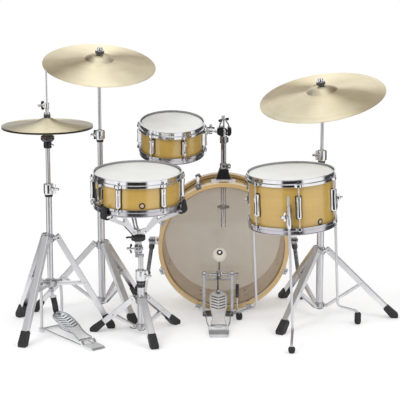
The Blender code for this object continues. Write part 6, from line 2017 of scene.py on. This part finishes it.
def buildPedalFrame():
    form = pedal
    axle = pivot("beater_swing")
    place = at((axle.x, axle.y, 0))
    outline = softened([(-.0635, -.03), (.0635, -.03), (.0635, .028), (.03, .03), (-.03, .03),
        (-.0635, .028)], .006, 4)
    plate = moved(slab(outline, .0006, .0095), Matrix(((1, 0, 0), (0, 0, 1), (0, 1, 0))).to_4x4())
    ribs = [block((x - .0035, -.0285, .008), (x + .0035, .0285, .0122), .0012)
        for x in (-.0577, .0577, -.03, .03)]
    onKit = "kit", place
    piece("pedalBase", [plate, *ribs], darkCast, *onKit, edge=.0008, slot="dark_steel")
    posts = []
    for side in (-1, 1):
        profile = softened([(-.0125, .0042), (.0125, .0042), (.008, .06), (.0098, .158), (.0108, .172),
            (.005, .185), (-.005, .185), (-.0108, .172), (-.0098, .158), (-.008, .06)], .006, 4)
        hole = softened([(-.0036, .04), (.0036, .04), (.004, .13), (-.004, .13)], .003, 3)
        upright = moved(slab(profile, -.0056, .0056, holes=[hole]),
            shift(side * form["post"], 0, 0) @ turn(90))
        posts.append(upright)
        cap = spindle([(.0106, 0), (.0106, .0125), (.009, .015)],
            (side * (form["post"] - .0068), 0, form["axle"]),
            (side * (form["post"] + .008), 0, form["axle"]), 36, .0012, 3)
        posts.append(cap)
    bridge = bar((-form["post"], -.004, .153), (form["post"], -.004, .153), .004, 24)
    piece("pedalPosts", [*posts, bridge], darkChrome, *onKit, edge=.0009, replaces="pedal_frame",
        slot="chrome")
    dots = []
    for side in (-1, 1):
        for height in (.088, .104):
            dots.append(spindle([(.0036, 0), (.0032, .0026), (0, .003)],
                (side * (form["post"] + .0052), 0, height), (side * (form["post"] + .0088), 0, height), 6,
                .0005))
    piece("pedalPostBolts", dots, darkChrome, *onKit)
    piece("pedalHoopClamp", [
        block((-.0235, .022, .0006), (.0235, .0655, .0056), .002),
        block((-.0135, .0245, .006), (.0135, .0362, .0335), .003),
        block((-.0135, .03, .0216), (.0135, .0495, .0338), .003),
    ], darkCast, *onKit, edge=.0008, slot="dark_steel")
    piece("pedalHoopPads", [block((-.0125, .0382, .018), (.0125, .049, .0222), .001),
        block((-.0225, .0395, .005), (.0225, .064, .007), .001)], greyRubber, *onKit)
    screwAt = shift(.021, .01, .0155)
    stemShape = [bar((0, .012, 0), (0, -.03, 0), .0032, 16)]
    wing = placedAll(wingShapes(.042, .03, .012, .0058, tip=.03), turn(-90))
    piece("pedalClampScrew", placedAll(stemShape + wing, screwAt), darkChrome, *onKit, edge=.0004)
    heelPlace = place @ facing(0)
    piece("pedalHeelPlate", heelShapes(form["hingeOut"] + .007, .3215, .041, .0108, form["hingeUp"]),
        fleshAluminium, "kit", heelPlace, edge=.0008, slot="pedal_aluminium")
    wires = []
    for side in (-1, 1):
        route = [(side * .05, -.012, .0075), (side * .05, -.062, .0064), (side * .0455, -.15, .006),
            (side * .032, -.224, .0058), (side * .03, -.252, .0056)]
        wires.append(sweep(spline(route, 6), .0028, 12))
    piece("pedalSideWires", wires, chrome, *onKit)
    piece("pedalSpurBolts", [bar((side * .053, -.024, .012), (side * .053, -.024, .015), .0052, 6, .0006)
        for side in (-1, 1)], darkChrome, *onKit)
    hinge = pivot("pedal_press")
    toe = (form["toe"][0] - form["hingeOut"], form["toe"][1] - form["hingeUp"])
    board, length = buildBoard("pedal", "pedal_board", "pedal_footboard", hinge, 0, toe, (.033, .037, .0165),
        .035)
    plates = [slab(offset([(-.02, -.0115), (.0015, -.0095), (.0015, .0095), (-.02, .0115)], length), .0022,
        .0062, .004, 3)]
    screw = [moved(outwards([(.004, 0), (.0034, .0022), (0, .0026)], 16, .0004),
        shift(length - .009, .0058, 0) @ turn(90))]
    piece("pedalStrapPlate", plates + screw, chrome, "pedal_board", board, edge=.0006)
    return place, board, length


def buildBeater(place, board, length):
    form = pedal
    height = form["axle"]
    axis = place @ shift(0, 0, height)
    rod = bar((-.069, 0, 0), (.0865, 0, 0), .005, 6, .0004)
    swung = turn(form["back"], "X")
    collar = [spindle([(.0085, 0), (.0085, .006)], (x, 0, 0), (x + .006, 0, 0), 28, .0008)
        for x in (-.044, .038)]
    piece("beaterAxle", [rod, *collar], darkChrome, "beater", axis, edge=.0004, replaces="pedal_beater",
        slot="dark_steel")
    wheel = moved(turned([(.015, -.0065), (.016, -.0045), (.0142, 0), (.016, .0045), (.015, .0065)], 48,
        .0008), shift(-.001, 0, 0) @ turn(90, "Y"))
    hub = block((-.0035, -.0088, -.0095), (.0118, .0088, .035), .004)
    neck = spindle([(.0082, 0), (.0082, .01), (.0064, .014)], (.004, 0, .032), (.004, 0, .046), 28, .001)
    onBeater = "beater", axis @ swung
    piece("beaterHub", [hub, wheel, neck], castMetal, *onBeater, edge=.0009, slot="chrome")
    piece("beaterKeys", [spindle([(.0048, 0), (.0042, .0075), (.003, .009)], (.004, -.0085, .0225),
        (.004, -.0175, .0225), 20, .0008), spindle([(.0042, 0), (.0038, .006), (0, .007)],
        (.004, -.0085, .001), (.004, -.0155, .001), 4, .0008),
        spindle([(.0036, 0), (.0032, .0045), (0, .005)], (.0112, 0, .016), (.0165, 0, .016), 4, .0006)],
        chrome, *onBeater)
    shaft = bar((.004, 0, .012), (.004, 0, .2255), .004, 20, .0006)
    tip = spindle([(.0062, 0), (.0054, .004), (0, .0046)], (.004, 0, .221), (.004, 0, .2262), 24, .0006)
    piece("beaterShaft", [shaft, tip], chrome, *onBeater, slot="chrome")
    radius, low, high = form["felt"]
    felt = lathe([(.0042, low + .0005), (radius * .72, low + .0005), (radius * .96, low + .009),
        (radius, (low + high) / 2), (radius * .96, high - .009), (radius * .72, high - .0005),
        (.0042, high - .0005)], 72, .007, 6)
    piece("beaterFelt", moved(felt, shift(.004, 0, 0)), creamFelt, *onBeater)
    discs = [lathe([(.0036, h), (.0115, h), (.012, h + .0012), (.0036, h + .0024)], 40, .0006)
        for h in (high - .0006, low - .0014)]
    piece("beaterWashers", [moved(disc, shift(.004, 0, 0)) for disc in discs], blackNylon, *onBeater)
    rocker = slab([(-.0155, -.0045), (.004, -.0095), (.0078, -.004), (.0078, .006), (-.002, .0078),
        (-.0155, .003)], -.0045, .0045, .004)
    rocker = moved(rocker, shift(.079, 0, 0) @ turn(90))
    piece("beaterRocker", rocker, castMetal, "beater", axis, edge=.0008, slot="chrome")
    # A strap runs from the footboard's plate up over the wheel.
    top = board @ Vector((length - .01, .0052, 0))
    local = axis.inverted() @ top
    route = [local + Vector((0, -.006, -.006)), local, Vector((0, -.0158, -.004))]
    route = [Vector((-.001, point.y, point.z)) for point in route]
    for step in range(7):
        angle = radians(195 - step * 24)
        route.append(Vector((-.001, .0158 * cos(angle), .0158 * sin(angle))))
    piece("pedalStrap", sweep(softened(route, .004, 3, closed=False), 1,
        section=rectangle(.003, -.0008, .0008), side=(1, 0, 0)), springSteel, "beater", axis, edge=.0003)


def buildSpring(place):
    form = pedal
    x, y = form["spring"]
    low, high, turns, radius = .076, .13, 17, .0058
    route = []
    for step in range(turns * 14 + 1):
        angle = 2 * pi * step / 14
        route.append((x + radius * cos(angle), y + radius * sin(angle),
            low + (high - low) * step / (turns * 14)))
    piece("pedalSpring", sweep(route, .0015, 8), springSteel, "kit", place, replaces="pedal_spring",
        slot="dark_steel")
    core = turned([(.0048, low - .002), (.0048, high + .002)], 20, .001)
    piece("pedalSpringCore", moved(core, shift(x, y, 0)), blackNylon, "kit", place)
    hookTop = [(x, y, high), (x, y, high + .006), (x, y - .003, high + .012), (x, y - .0032, high + .02),
        (x, y, high + .0245)]
    rod = bar((x, y, .016), (x, y, low + .001), .0023, 14)
    nuts = [bar((x, y, height), (x, y, height + .005), .0058, 6, .0008) for height in (.013, .0215)]
    piece("pedalSpringRod", [sweep(spline(hookTop, 5), .0017, 10), rod, *nuts], chrome, "kit", place,
        slot="chrome")
    piece("pedalSpringFoot", block((form["post"] + .004, -.0075, .0035), (.0865, .0075, .0122), .002),
        castMetal, "kit", place, edge=.0008)


pedalAt, pedalBoardAt, pedalLength = buildPedalFrame()
buildBeater(pedalAt, pedalBoardAt, pedalLength)
buildSpring(pedalAt)
print("bass drum pedal ready")
